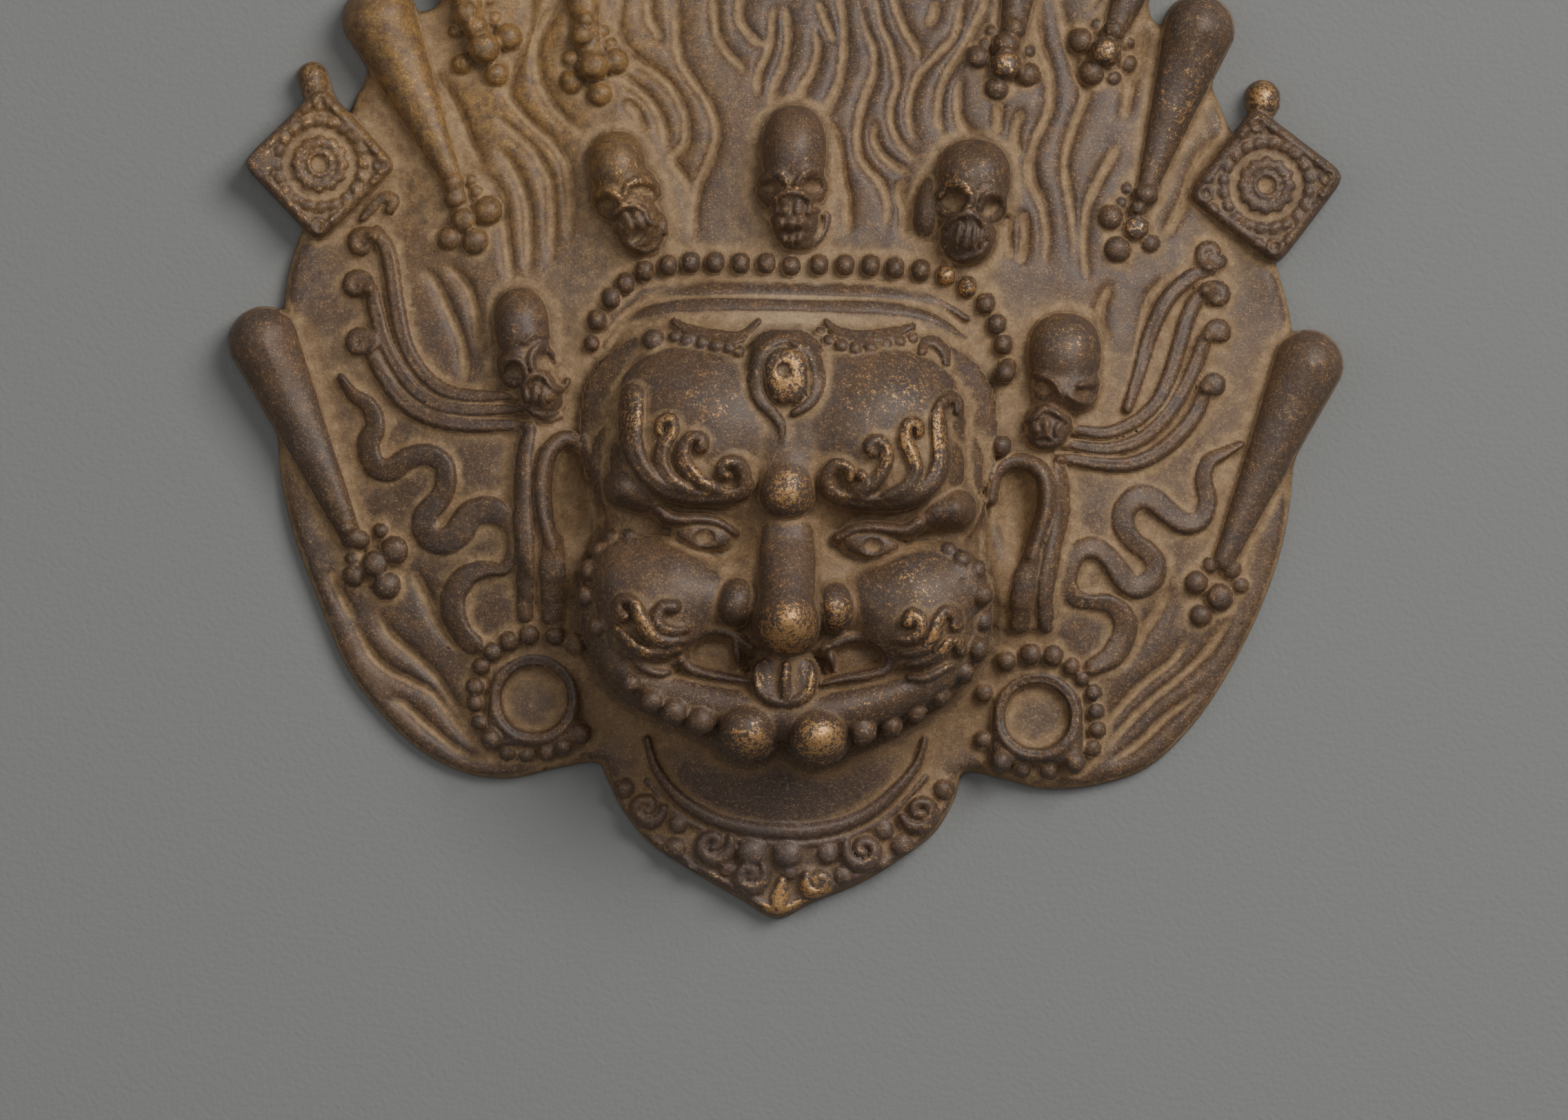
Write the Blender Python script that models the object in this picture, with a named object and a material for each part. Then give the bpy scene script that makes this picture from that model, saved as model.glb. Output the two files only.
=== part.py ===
"""Mahakala mask: one hollow casting in copper alloy, lying face up on the flat edge of its back.

Forms are laid out in 240ths of the mask's width, across X and up Y from the nose bridge, and Z is
their height. The outline is the union of a plate, nine clubs, two plaques and their knobs, each
given as a distance that is positive inside. The relief is one height over that outline: each form
is joined to what carries it by a smooth maximum. The inside follows the outside at the wall's depth.
"""

import math

import bmesh
import bpy
import numpy as np

# Driving sizes in metres
MASK_WIDTH = 0.240
WALL = 0.003
RIM_WIDTH = 0.006
RIM_EDGE = 0.0012
RIM_ROUND = 0.0034
HOLLOW_SMOOTHING = 0.003
GRID = 0.00115
TRIANGLES = 9400

# The plate and the head, in metres: the carving on them stays in shares of the width
PLATE_RISE = 0.009
CROWN_SWELL = 0.007
HOOD_HEIGHT = 0.0305
FACE_HEIGHT = 0.036
NOSE_HEIGHT = 0.0545
HAIR_DEPTH = 0.0019
PLAQUE_THICKNESS = 0.0096
SKULL_HEIGHT = 0.0125

UNIT = MASK_WIDTH / 240
HOLLOW_SLOPE = 6
SIDES = (-1, 1)

# Half of the plate's outline, from the point of the collar up to the crown, on the right
PLATE_OUTLINE = (
    (0, -77), (18, -68.5), (27, -62.5), (33.5, -55), (37.5, -48.5), (40, -44.6), (48, -46), (58, -48),
    (68, -47), (79, -42.5), (87.5, -34), (94.5, -24.5), (101.5, -9), (106.5, 5), (109, 22), (109, 40),
    (107.5, 55), (103.5, 68), (98, 86), (92.6, 99), (87, 109), (81.5, 115.3), (76.5, 118.5),
)
# Flame tips between the clubs: across, up, half width at the foot, height of the tip
FLAMES = ((68.5, 131, 7, 22), (35.5, 144, 8, 22), (19, 137, 7, 22))

# Clubs: foot, middle of the fat end, half widths of both
CLUBS = (
    ((72.5, 74), (88.2, 114.4), 1.6, 8.1),
    ((93.7, 2.5), (112.2, 44.4), 2.6, 7.8),
    ((66.8, 109.5), (85.5, 158.5), 2.3, 8.4),
    ((44.2, 106), (55.5, 168.5), 2.3, 8.6),
)
MIDDLE_CLUB = ((0.5, 124), (0.5, 176), 2.3, 8.8)
CLUB_SWELL = 1.05

PLAQUE_AT = (101.7, 82.7)
PLAQUE_HALF = 12.4
PLAQUE_TURNS = {-1: 45, 1: 54}
# From the plaque's middle to its knob, and where the stem that carries the plaque leaves the plate
KNOB_OFFSET = (0.3, 19.3)
STEM_AT = (88, 80)
STEM_HALF = 8
KNOB_RADIUS = 3.6
# The broken place beside the left upper club: across, up, radius
LOSS = ((-95.2, 101.3, 3.0), (-95.9, 105.4, 1.8))

# Skulls: across, up, turn in degrees, breadth as a share
SKULLS = (
    (0.6, 81.5, 0, 1.0),
    (-35.2, 78.5, 22, 1.12),
    (38.3, 77.8, 0, 1.1),
    (-55.2, 43.2, 12, 1.05),
    (58.8, 40.5, -6, 1.15),
)

HOOD_MIDDLE = (1, 13)
HOOD_HALF = (44, 49)
FACE_MIDDLE = (0.5, 9)
FACE_HALF = (39.5, 43)
EARRING_AT = {-1: (-53, -31), 1: (55, -32.5)}
EARRING_RADIUS = 9.7
EARRING_BEADS = 19
BEAD_RADIUS = 2.4
DIADEM_BEADS = 22


def smooth_max(a, b, blend):
    """The larger of a and b, with the corner between them rounded over the blend."""
    share = np.clip(0.5 + 0.5 * (a - b) / blend, 0, 1)
    return b + (a - b) * share + blend * share * (1 - share)


def smoothstep(t):
    """3t^2 - 2t^3 between 0 and 1."""
    t = np.clip(t, 0, 1)
    return t * t * (3 - 2 * t)


def curve(points, step=1.5, closed=False):
    """A Catmull-Rom curve through the points, with a point about every step."""
    p = np.asarray(points, float)
    if closed:
        p = np.vstack([p[-1], p, p[:2]])
    else:
        p = np.vstack([2 * p[0] - p[1], p, 2 * p[-1] - p[-2]])
    p0, p1, p2, p3 = (q[:, None, :] for q in (p[:-3], p[1:-2], p[2:-1], p[3:]))
    count = max(2, math.ceil(np.abs(p2 - p1).max() / step))
    t = (np.arange(count) / count)[None, :, None]
    c = 2 * p1 + (p2 - p0) * t + (2 * p0 - 5 * p1 + 4 * p2 - p3) * t**2
    c = 0.5 * (c + (p3 - 3 * p2 + 3 * p1 - p0) * t**3).reshape(-1, 2)
    return c if closed else np.vstack([c, p[-2]])


def spiral(x, y, radius, start, hand, turns=1.3, core=0.3):
    """Points that wind in from the radius to a share of it, from an angle in degrees."""
    s = np.linspace(0, 1, round(9 * turns) + 3)
    angle = math.radians(start) + hand * math.tau * turns * s
    reach = radius * (1 - (1 - core) * s)
    return np.stack([x + reach * np.cos(angle), y + reach * np.sin(angle)], 1)


def segment_distance(x, y, start, end):
    """Distance to a straight stretch, and the share of it that lies nearest."""
    dx, dy = end[0] - start[0], end[1] - start[1]
    t = np.clip(((x - start[0]) * dx + (y - start[1]) * dy) / (dx * dx + dy * dy), 0, 1)
    return np.hypot(x - start[0] - t * dx, y - start[1] - t * dy), t


def polygon_inside(x, y, points):
    """Distance to a closed polygon, positive inside it."""
    nearest = np.full(x.shape, np.inf)
    odd = np.zeros(x.shape, bool)
    for start, end in zip(points, np.roll(points, -1, axis=0)):
        nearest = np.minimum(nearest, segment_distance(x, y, start, end)[0])
        if start[1] != end[1]:
            across = (end[0] - start[0]) * (y - start[1]) / (end[1] - start[1]) + start[0]
            odd ^= ((start[1] > y) != (end[1] > y)) & (x < across)
    return np.where(odd, nearest, -nearest)


def turned(x, y, middle, degrees):
    """Places measured from a middle, along axes turned by an angle."""
    a = math.radians(degrees)
    dx, dy = x - middle[0], y - middle[1]
    return dx * math.cos(a) + dy * math.sin(a), dy * math.cos(a) - dx * math.sin(a)


def square_inside(x, y, side):
    """Distance to the edge of a plaque, positive inside it."""
    u, v = turned(x, y, (side * PLAQUE_AT[0], PLAQUE_AT[1]), PLAQUE_TURNS[side])
    return PLAQUE_HALF - np.maximum(np.abs(u), np.abs(v))


def knob_middle(side):
    """The knob stands off its plaque, wherever that is."""
    return side * (PLAQUE_AT[0] + KNOB_OFFSET[0]), PLAQUE_AT[1] + KNOB_OFFSET[1]


def both_clubs():
    """Every club of both sides and the middle one."""
    for (fx, fy), (tx, ty), foot, fat in CLUBS:
        for side in SIDES:
            yield (side * fx, fy), (side * tx, ty), foot, fat
    yield MIDDLE_CLUB


def club_half(share, foot, fat):
    """Half width of a club, swelling to its outer end."""
    return foot + (fat - foot) * share**CLUB_SWELL


def plate_outline():
    """The plate's closed outline, with the flame tips of the crown."""
    tips = []
    for x, y, half, tall in FLAMES:
        tips += [(x + half, y), (x + 3, y + 0.64 * tall), (x, y + tall)]
        tips += [(x - 3.5, y + 0.64 * tall), (x - half, y)]
    right = [*PLATE_OUTLINE, *tips]
    left = [(-x, y) for x, y in right[:0:-1]]
    return curve([*right, *left], 3.0, closed=True)


def mask_inside(x, y, plate):
    """Distance to the mask's whole outline, positive inside it, from that to the plate's."""
    inside = plate
    for foot, tip, foot_half, tip_half in both_clubs():
        distance, share = segment_distance(x, y, foot, tip)
        inside = smooth_max(inside, club_half(share, foot_half, tip_half) - distance, 1.2)
    for side in SIDES:
        middle = (side * PLAQUE_AT[0], PLAQUE_AT[1])
        stem, _ = segment_distance(x, y, (side * STEM_AT[0], STEM_AT[1]), middle)
        inside = np.maximum(inside, STEM_HALF - stem)
        inside = np.maximum(inside, square_inside(x, y, side))
        knob_x, knob_y = knob_middle(side)
        inside = smooth_max(inside, KNOB_RADIUS - np.hypot(x - knob_x, y - knob_y), 1.0)
    for cx, cy, radius in LOSS:
        inside = np.minimum(inside, np.hypot(x - cx, y - cy) - radius)
    return inside


class Relief:
    """A height over a grid, and the ground that the next forms stand on."""

    def __init__(self, step):
        self.step = step
        self.xs = np.arange(-124, 124 + step, step)
        self.ys = np.arange(-80, 188 + step, step)
        self.x, self.y = np.meshgrid(self.xs, self.ys)
        self.plate = polygon_inside(self.x, self.y, plate_outline())
        self.inside = mask_inside(self.x, self.y, self.plate)
        self.height = np.zeros(self.x.shape)
        self.ground = self.height

    def settle(self):
        """What stands so far becomes the ground of the next forms."""
        self.ground = self.height.copy()

    def level(self, x, y):
        """The ground's height at a place."""
        row = np.clip(np.searchsorted(self.ys, y), 0, len(self.ys) - 1)
        column = np.clip(np.searchsorted(self.xs, x), 0, len(self.xs) - 1)
        return self.ground[row, column]

    def window(self, low, high):
        """The part of the grid between two corners."""
        rows = slice(*np.searchsorted(self.ys, (low[1], high[1])))
        columns = slice(*np.searchsorted(self.xs, (low[0], high[0])))
        return rows, columns

    def join(self, where, shown, form, blend):
        """Joins a form to the height where it is shown."""
        old = self.height[where]
        self.height[where] = np.where(shown, smooth_max(old, form, blend), old)

    def around(self, x, y, reach):
        """The window within a reach of a place."""
        return self.window((x - reach, y - reach), (x + reach, y + reach))

    def dome(self, x, y, rx, ry, high, base=None, turn=0, blend=1.0, square=2.2, crown=2.0):
        """Base + high * (1 - |u/rx|^square - |v/ry|^square)^(1/crown)."""
        where = self.around(x, y, 1.1 * max(rx, ry) + 1)
        u, v = turned(self.x[where], self.y[where], (x, y), turn)
        out = np.abs(u / rx) ** square + np.abs(v / ry) ** square
        base = self.level(x, y) if base is None else base
        self.join(where, out < 1, base + high * np.clip(1 - out, 0, 1) ** (1 / crown), blend)

    def pearl(self, x, y, radius, lift=0.35, base=None):
        """A ball whose middle stands a share of its radius over the ground."""
        where = self.around(x, y, radius + 1)
        out = np.hypot(self.x[where] - x, self.y[where] - y)
        base = self.level(x, y) if base is None else base
        ball = np.sqrt(np.clip(radius**2 - out**2, 0, None))
        self.join(where, out < radius, base + lift * radius + ball, 0.3)

    def hollow(self, x, y, rx, ry, deep, turn=0, square=2.4):
        """Takes away deep * exp(-out^square)."""
        where = self.around(x, y, 2.4 * max(rx, ry))
        u, v = turned(self.x[where], self.y[where], (x, y), turn)
        self.height[where] -= deep * np.exp(-np.hypot(u / rx, v / ry) ** square)

    def along(self, points, reach):
        """The window about a path, with the distance to it and the share of its length."""
        low, high = points.min(0) - reach, points.max(0) + reach
        where = self.window(low, high)
        x, y = self.x[where], self.y[where]
        nearest = np.full(x.shape, np.inf)
        share = np.zeros(x.shape)
        for number, (start, end) in enumerate(zip(points[:-1], points[1:])):
            distance, t = segment_distance(x, y, start, end)
            closer = distance < nearest
            nearest = np.where(closer, distance, nearest)
            share = np.where(closer, (number + t) / (len(points) - 1), share)
        return where, nearest, share

    def strand(self, points, halves, high, base=None, blend=0.4):
        """A rounded ridge along a path, with half widths given at even shares of it."""
        halves = np.atleast_1d(halves).astype(float)
        where, distance, share = self.along(np.asarray(points, float), halves.max() + 1)
        half = np.interp(share, np.linspace(0, 1, len(halves)), halves)
        up = high * np.sqrt(np.clip(1 - (distance / half) ** 2, 0, 1))
        base = self.ground[where] if base is None else base
        self.join(where, distance < half, base + up, blend)

    def ring(self, x, y, radius, half, high):
        """A rounded ridge along a circle."""
        where = self.around(x, y, radius + half + 1)
        out = np.abs(np.hypot(self.x[where] - x, self.y[where] - y) - radius)
        up = high * np.sqrt(np.clip(1 - (out / half) ** 2, 0, 1))
        self.join(where, out < half, self.ground[where] + up, 0.3)


def superellipse(relief, middle, half, square):
    """The window about a rounded block and how far out each place lies, 1 at its edge."""
    where = relief.around(*middle, 1.3 * max(half))
    u, v = turned(relief.x[where], relief.y[where], middle, 0)
    return where, np.abs(u / half[0]) ** square + np.abs(v / half[1]) ** square


def lay_plate(relief):
    """The plate: a quarter-round edge, a slow rise to the head and a swell behind the skulls."""
    inward = np.clip(relief.inside * UNIT / RIM_ROUND, 0, 1)
    edge = RIM_EDGE + RIM_ROUND * np.sqrt(1 - (1 - inward) ** 2)
    rise = PLATE_RISE * smoothstep(relief.inside / 46)
    swell = CROWN_SWELL * np.exp(-np.hypot(relief.x / 62, (relief.y - 22) / 62) ** 3)
    relief.height = np.where(relief.inside > 0, (edge + rise + swell) / UNIT, 0)


def lay_hair(relief):
    """Locks fan out from under the face and sway: grooves lie where the swaying fan is whole."""
    spread = 230 / (relief.y + 170)
    sway = 2.6 * np.sin((relief.y + 0.25 * np.abs(relief.x)) / 4.6 + relief.x / 24)
    upper = (relief.x * spread + sway) / 6.4
    sweep = 1.3 * np.sin((relief.x - relief.y) / 9)
    lower = (relief.inside + sweep) / 5.2
    crown = smoothstep((relief.y - 40) / 14) * smoothstep((80 - np.abs(relief.x)) / 10)
    skirt = smoothstep((-4 - relief.y) / 6) * smoothstep((np.abs(relief.x) - 66) / 4)
    bare = smoothstep(relief.inside / 6) * HAIR_DEPTH / UNIT
    for fan, where in ((upper, crown), (lower, skirt)):
        groove = np.abs(np.sin(math.pi * fan)) ** 0.7
        relief.height += (groove - 1) * where * bare


def lay_clubs(relief):
    """Flame clubs, round across and fat at the outer end."""
    for foot, tip, foot_half, tip_half in both_clubs():
        distance, share = segment_distance(relief.x, relief.y, foot, tip)
        half = club_half(share, foot_half, tip_half)
        out = distance / half
        carried = np.minimum(relief.height, 11.5 - 5 * share)
        up = (0.9 * half + 1.5) * np.sqrt(np.clip(1 - out**2, 0, 1))
        relief.join(..., out < 1, carried + up, 0.8)


def lay_cluster(relief, x, y, toward):
    """A jewel cluster at the foot of a club: one ball in the middle, others about it."""
    relief.pearl(x, y, 2.8, 0.75)
    aim = math.atan2(toward[1] - y, toward[0] - x)
    for number, radius in enumerate((2.0, 2.5, 2.7, 2.8, 2.4)):
        angle = aim + math.tau * number / 5
        relief.pearl(x + 5 * math.cos(angle), y + 5 * math.sin(angle), radius, 0.4)
    relief.pearl(x + 8.3 * math.cos(aim), y + 8.3 * math.sin(aim), 1.9, 0.2)


def lay_streamers(relief):
    """Three streamers a side sweep out from the skull and end in curls."""
    for side in SIDES:
        drop = 0 if side < 0 else -5
        for number in range(3):
            out = 89.5 - 2.2 * number
            top = 42 + 14 * number + drop
            path = [(56, 28 + 2.7 * number), (70, 28 + 2.7 * number), (78, 29.2 + 3.6 * number)]
            path += [(out - 4, 36 + 5 * number), (out, top)]
            path = [(side * x, y + (drop if n else 0)) for n, (x, y) in enumerate(path)]
            relief.strand(curve(path), (1.5, 2.1, 1.9), 2.8)
            hand = -side
            curl = spiral(side * (out + 2.9), top + 1.5, 2.8, 90 - side * 90, hand)
            relief.strand(curl, (1.5, 0.9), 2.8)


def lay_ribbons(relief):
    """A ribbon a side falls in swinging folds from the plate's edge to the earring."""
    folds = ((96, 36), (89, 29), (88, 19), (81, 18), (75, 20), (73, 12), (77, 4), (70, 3), (63, 9))
    folds += ((58, 3), (63, -4), (71, -7), (72, -15), (67, -20))
    for side in SIDES:
        drop = 0 if side < 0 else -3
        path = curve([(side * x, y + drop) for x, y in folds])
        where, distance, _ = relief.along(path, 4)
        up = 2.4 * np.clip(1 - (distance / 2.7) ** 4, 0, 1)
        relief.join(where, distance < 2.7, relief.ground[where] + up, 0.4)


def lay_plaques(relief):
    """Square plaques with a raised border, a rosette of rings and a knob at the upper corner."""
    for side in SIDES:
        x, y = side * PLAQUE_AT[0], PLAQUE_AT[1]
        relief.dome(*knob_middle(side), KNOB_RADIUS, KNOB_RADIUS, 1.5 * KNOB_RADIUS, base=2.2)
        where = relief.around(x, y, 1.5 * PLAQUE_HALF)
        inward = square_inside(relief.x[where], relief.y[where], side)
        edge = 3.6 * (1 - np.sqrt(1 - (1 - np.clip(inward / 1.6, 0, 1)) ** 2))
        top = PLAQUE_THICKNESS / UNIT - edge - 1.1 * smoothstep((inward - 1.8) / 0.7)
        relief.height[where] = np.where(inward > 0, top, relief.height[where])
        relief.settle()
        relief.ring(x, y, 9.4, 1.2, 1.2)
        relief.ring(x, y, 5.0, 1.2, 1.4)
        relief.pearl(x, y, 2.2, -0.2)


def lay_hood(relief):
    """The hood round the face, with bands and a row of beads over the brow."""
    where, out = superellipse(relief, HOOD_MIDDLE, HOOD_HALF, 3.6)
    base = 12
    rise = (HOOD_HEIGHT / UNIT - base) * np.clip(1 - out, 0, 1) ** (1 / 2.4)
    relief.join(where, out < 1, base + rise, 2.0)
    relief.settle()
    for y, half, high in ((59.0, 1.4, 1.6), (55.4, 1.2, 1.6)):
        band = [(40, y - 9), (34.5, y - 3.2), (28, y - 0.8), (10, y)]
        band = [*band, *((-x, y) for x, y in band[::-1])]
        relief.strand(curve(band), half, high)
    row = curve([(-42, 44), (-40, 53), (-33, 60.5), (-22, 63.2), (0, 63.2), (24, 62.8), (36, 60.5), (44, 52.5), (47, 41)])
    for number in np.linspace(0, len(row) - 1, DIADEM_BEADS).round().astype(int):
        x, y = row[number]
        relief.pearl(x, y, BEAD_RADIUS, 0.55, base=min(relief.level(x, y), 24))


def lay_face(relief):
    """The wrathful face: brow domes, cheeks, nose, open mouth, jaw and chin."""
    where, out = superellipse(relief, FACE_MIDDLE, FACE_HALF, 4)
    base = 20
    rise = (FACE_HEIGHT / UNIT - base) * np.clip(1 - out, 0, 1) ** (1 / 2.6)
    relief.join(where, out < 1, base + rise, 1.5)
    # One broad forehead under both brow mounds, so that the valley between them stays shallow
    relief.dome(0.5, 28.5, 38, 17.5, FACE_HEIGHT / UNIT - 22.5, base=26, blend=3, square=3.2)
    for side in SIDES:
        relief.dome(side * 21, 32, 15.5, 15, 12, base=31, blend=2.5, square=2.6)
    for side in SIDES:
        relief.hollow(side * 17, 5.5, 13, 4.8, 7, square=3)
        relief.hollow(side * 13, -3, 4.5, 7, 3)
    relief.hollow(0, -21, 24, 7, 5, square=3)
    for side in SIDES:
        relief.dome(side * 28, -9.2, 12.4, 12.5, 15, base=28.5, blend=2.0)
    jaw = [(38, -18), (33, -25.2), (25, -30.8), (14, -34), (0, -35)]
    jaw = curve([*jaw, *((-x, y) for x, y in jaw[-2::-1])])
    relief.strand(jaw, (5, 6.8, 7.5, 6.8, 5), 36, base=0, blend=2.0)
    for side in SIDES:
        relief.dome(0.7 + side * 7.5, -36, 6.3, 6, 9.5, base=34)
        relief.strand(curve([(side * 24, -17), (side * 18, -13.5), (side * 10, -13.6), (side * 4, -17)]), 2.4, 4.5, base=36)
    smile = curve([(-26, -20), (-20, -26.5), (-10, -29), (0, -31.5), (11, -29), (21, -26.5), (28, -20)])
    relief.strand(smile, (1.5, 3.0, 1.5), 5, base=34.5)
    for side in SIDES:
        relief.hollow(side * 14.5, -20.3, 7, 4, 7, square=4)
        relief.dome(0.7 + side * 9.6, -22, 1.6, 3.6, 7, base=32)
    relief.dome(0.7, -25.5, 6.3, 6, 12, base=32)
    bridge = curve([(0.5, 18), (0.6, 8), (0.8, -2), (0.8, -10)])
    relief.strand(bridge, 6.4, 12.5, base=32, blend=1.2)
    relief.dome(0.6, 15.5, 6.2, 7.6, 13.5, base=34)
    relief.dome(0.8, -11.5, 6.8, 8.3, NOSE_HEIGHT / UNIT - 35, base=35)
    for side in SIDES:
        relief.dome(0.6 + side * 9.6, -9.5, 4.8, 5.2, 10, base=33.5)
        relief.dome(1 + side * 34.5, 13, 7, 5.6, 13, base=25, turn=-side * 12)
    relief.settle()


def lay_eyes(relief):
    """Eyes under flaming brows, and the third eye upright between them."""
    for side, x, y in ((-1, -17.3, 5.0), (1, 18.3, 4.2)):
        relief.dome(x, y, 7.5, 4.2, 4.5, turn=-8 * side, blend=0.8)
        relief.strand(curve([(x - 7.5, y + 1.6), (x - 3, y + 3.6), (x + 4, y + 3.7), (x + 8, y + 2)]), 1.5, 3.6)
    relief.dome(-0.2, 39.3, 8, 8.4, 4.5)
    for side in SIDES:
        arch = [(36, 31), (33, 20), (28.5, 14.5), (21, 11.8), (13.5, 11.6), (7.5, 14.3)]
        relief.strand(curve([(side * x, y) for x, y in arch]), (1.3, 2.0, 1.6), 3.4)
        for foot, lean, tall in ((30, 3, 17), (26, 1, 12.5), (20, 0, 9.5)):
            flame = [(foot, 16), (foot + lean, 16 + 0.45 * tall), (foot + 0.6 * lean, 16 + 0.8 * tall)]
            flame += [(foot + 1.5 * lean, 17 + tall)]
            relief.strand(curve([(side * x, y) for x, y in flame]), (2.1, 1.6), 4.2)
        relief.strand(spiral(side * 12, 18, 4.2, 270, -side), (1.8, 1.3), 4.0)
    relief.settle()
    relief.hollow(-0.2, 39.3, 6, 6.6, 1.8, square=5)
    relief.settle()
    relief.dome(-0.5, 39.5, 4.3, 5.5, 3.6, blend=0.3)
    relief.hollow(-0.6, 40, 1.5, 1.6, 2.4)


def lay_ears(relief):
    """Long-lobed ears beside the hood, the left one a little higher."""
    for side, lift in ((1, 0), (-1, 4)):
        relief.dome(side * 50.5, 8 + lift, 8.5, 22, 5, turn=-3 * side, blend=2, square=3)
        relief.hollow(side * 49, 11 + lift, 3.6, 9.5, 4, turn=-3 * side, square=3)
        relief.settle()
        rim = [(43.5, 12), (44.5, 18), (48, 22), (53, 21.5), (56.5, 14), (55, 4), (52.4, -6), (52.6, -15)]
        relief.strand(curve([(side * x, y + lift) for x, y in rim]), (1.6, 2.2, 1.6), 2.7)
        strap = [(57, 25), (60, 17), (60.5, 10), (58.5, 0), (57.6, -14)]
        relief.strand(curve([(side * x, y + lift) for x, y in strap]), (1.3, 1.9, 1.5), 2.0)
        relief.settle()


def lay_earrings(relief):
    """Ring earrings: a dish in a raised rim, with beads round it."""
    for x, y in EARRING_AT.values():
        relief.dome(x, y, EARRING_RADIUS + 0.4, EARRING_RADIUS + 0.4, 3, blend=0.6, square=6)
        where = relief.around(x, y, EARRING_RADIUS)
        out = np.hypot(relief.x[where] - x, relief.y[where] - y)
        relief.height[where] -= 2.8 * smoothstep((EARRING_RADIUS - 2.2 - out) / 1.0)
        for number in range(EARRING_BEADS):
            angle = math.tau * (number + 0.2) / EARRING_BEADS
            reach = EARRING_RADIUS + 3.6
            relief.pearl(x + reach * math.cos(angle), y + reach * math.sin(angle), 1.9)


def lay_collar(relief):
    """The neck, a round cord below it, and a scroll border that comes to a point."""
    relief.dome(0, -44, 31, 17, 6, blend=3, square=3)
    relief.settle()
    cord = [(30, -41), (27.5, -46.5), (23, -51.5), (15, -56), (7, -58)]
    cord = [*cord, (0, -58.4), *((-x, y) for x, y in cord[::-1])]
    relief.strand(curve(cord), (1.2, 1.9, 1.2), 2.6)
    relief.settle()
    for side in SIDES:
        relief.strand(spiral(side * 29, -53.2, 3.4, 90 + side * 90, side), 1.1, 2.4)
        relief.strand(spiral(side * 16, -61.4, 3.5, 90 + side * 70, side), 1.1, 2.4)
        for x, y, radius in ((7.5, -62.4, 2.3), (23.5, -61, 2.0), (8, -69, 2.4), (33, -49, 1.8)):
            relief.pearl(side * x, y, radius, -0.1)
    relief.pearl(1, -64, 2.7, -0.1)


def lay_jaw_beads(relief):
    """Beads along the cheeks and under the jaw."""
    cheek = ((36, 3.5), (39, 0.8), (41.2, -2.4), (42, -7.5), (42, -12.5), (41, -17.5), (39.5, -22.5))
    jaw = ((17, -36), (22.7, -34.5), (28, -31.8), (33.5, -28))
    for side in SIDES:
        for x, y in cheek:
            relief.pearl(side * x, y, 2.3, 0.4, base=24)
        for x, y in jaw:
            relief.pearl(side * x, y, 2.5, 0.4)


def lay_skull(relief, x, y, turn, broad):
    """One skull of the crown: a tall dome, sunken eyes, arched lip and bared teeth."""
    base = relief.level(x, y)
    high = SKULL_HEIGHT / UNIT
    a = math.radians(turn)

    def at(u, v):
        return x + broad * u * math.cos(a) - v * math.sin(a), y + broad * u * math.sin(a) + v * math.cos(a)

    def path(*points):
        return curve([at(*point) for point in points])

    relief.dome(*at(0, 1.5), 7.3 * broad, 14.6, high, base - 3, turn, 2.5)
    relief.dome(*at(0, 6.5), 6.9 * broad, 8.8, high + 1, base - 2, turn, 1.5)
    relief.dome(*at(0, -6), 5.6 * broad, 8.6, high - 1.5, base - 1.5, turn, 1.2, square=2.6, crown=2.6)
    relief.settle()
    for side in SIDES:
        relief.dome(*at(4.9 * side, -3.6), 2.7, 2.4, 1.6, turn=turn, blend=0.8)
        relief.hollow(*at(3.5 * side, -1.4), 2.2, 1.7, 3, turn)
        relief.strand(path((6.4 * side, -1.3), (4 * side, 1.3), (0.8 * side, -1)), 1.0, 1.5)
    relief.hollow(*at(0, -10), 3.3, 3.4, 3.2, turn)
    relief.settle()
    relief.strand(path((-5, -7.6), (-3.4, -5.8), (0, -4.6), (3.4, -5.8), (5, -7.6)), 1.0, 2.8)
    for u in (-1.5, 0, 1.5):
        relief.dome(*at(u, -8.6), 0.9, 2.1, 2.2, turn=turn, blend=0.3)
    relief.strand(path((-5, -8.5), (-4, -12.8), (0, -15), (4, -12.8), (5, -8.5)), 1.1, 1.8)


def box_mean(values, cells):
    """The mean over a square of cells, twice over."""
    for _ in range(2):
        for axis in (0, 1):
            total = sum(np.roll(values, shift, axis) for shift in range(-cells, cells + 1))
            values = total / (2 * cells + 1)
    return values


def lowest_near(values, cells):
    """The lowest value within a round reach of cells."""
    lowest = values
    for row in range(-cells, cells + 1):
        for column in range(-cells, cells + 1):
            if row * row + column * column <= cells * cells:
                lowest = np.minimum(lowest, np.roll(values, (row, column), (0, 1)))
    return lowest


def inner_height(relief):
    """The hollow back: it follows the main forms under the wall, and is flat along the rim.

    The outside's lowest height within a reach is taken, so that clubs, skulls and beads are solid
    metal, and the wall is at least as thick as named everywhere.
    """
    wall = WALL / UNIT
    reach = math.ceil((wall + HOLLOW_SMOOTHING / UNIT) / relief.step)
    outside = lowest_near(relief.height, reach)
    soft = np.minimum(box_mean(outside, round(HOLLOW_SMOOTHING / UNIT / relief.step)), outside)
    rising = smoothstep((relief.plate - RIM_WIDTH / UNIT) / HOLLOW_SLOPE)
    return np.clip(soft - wall, 0, None) * rising


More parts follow.
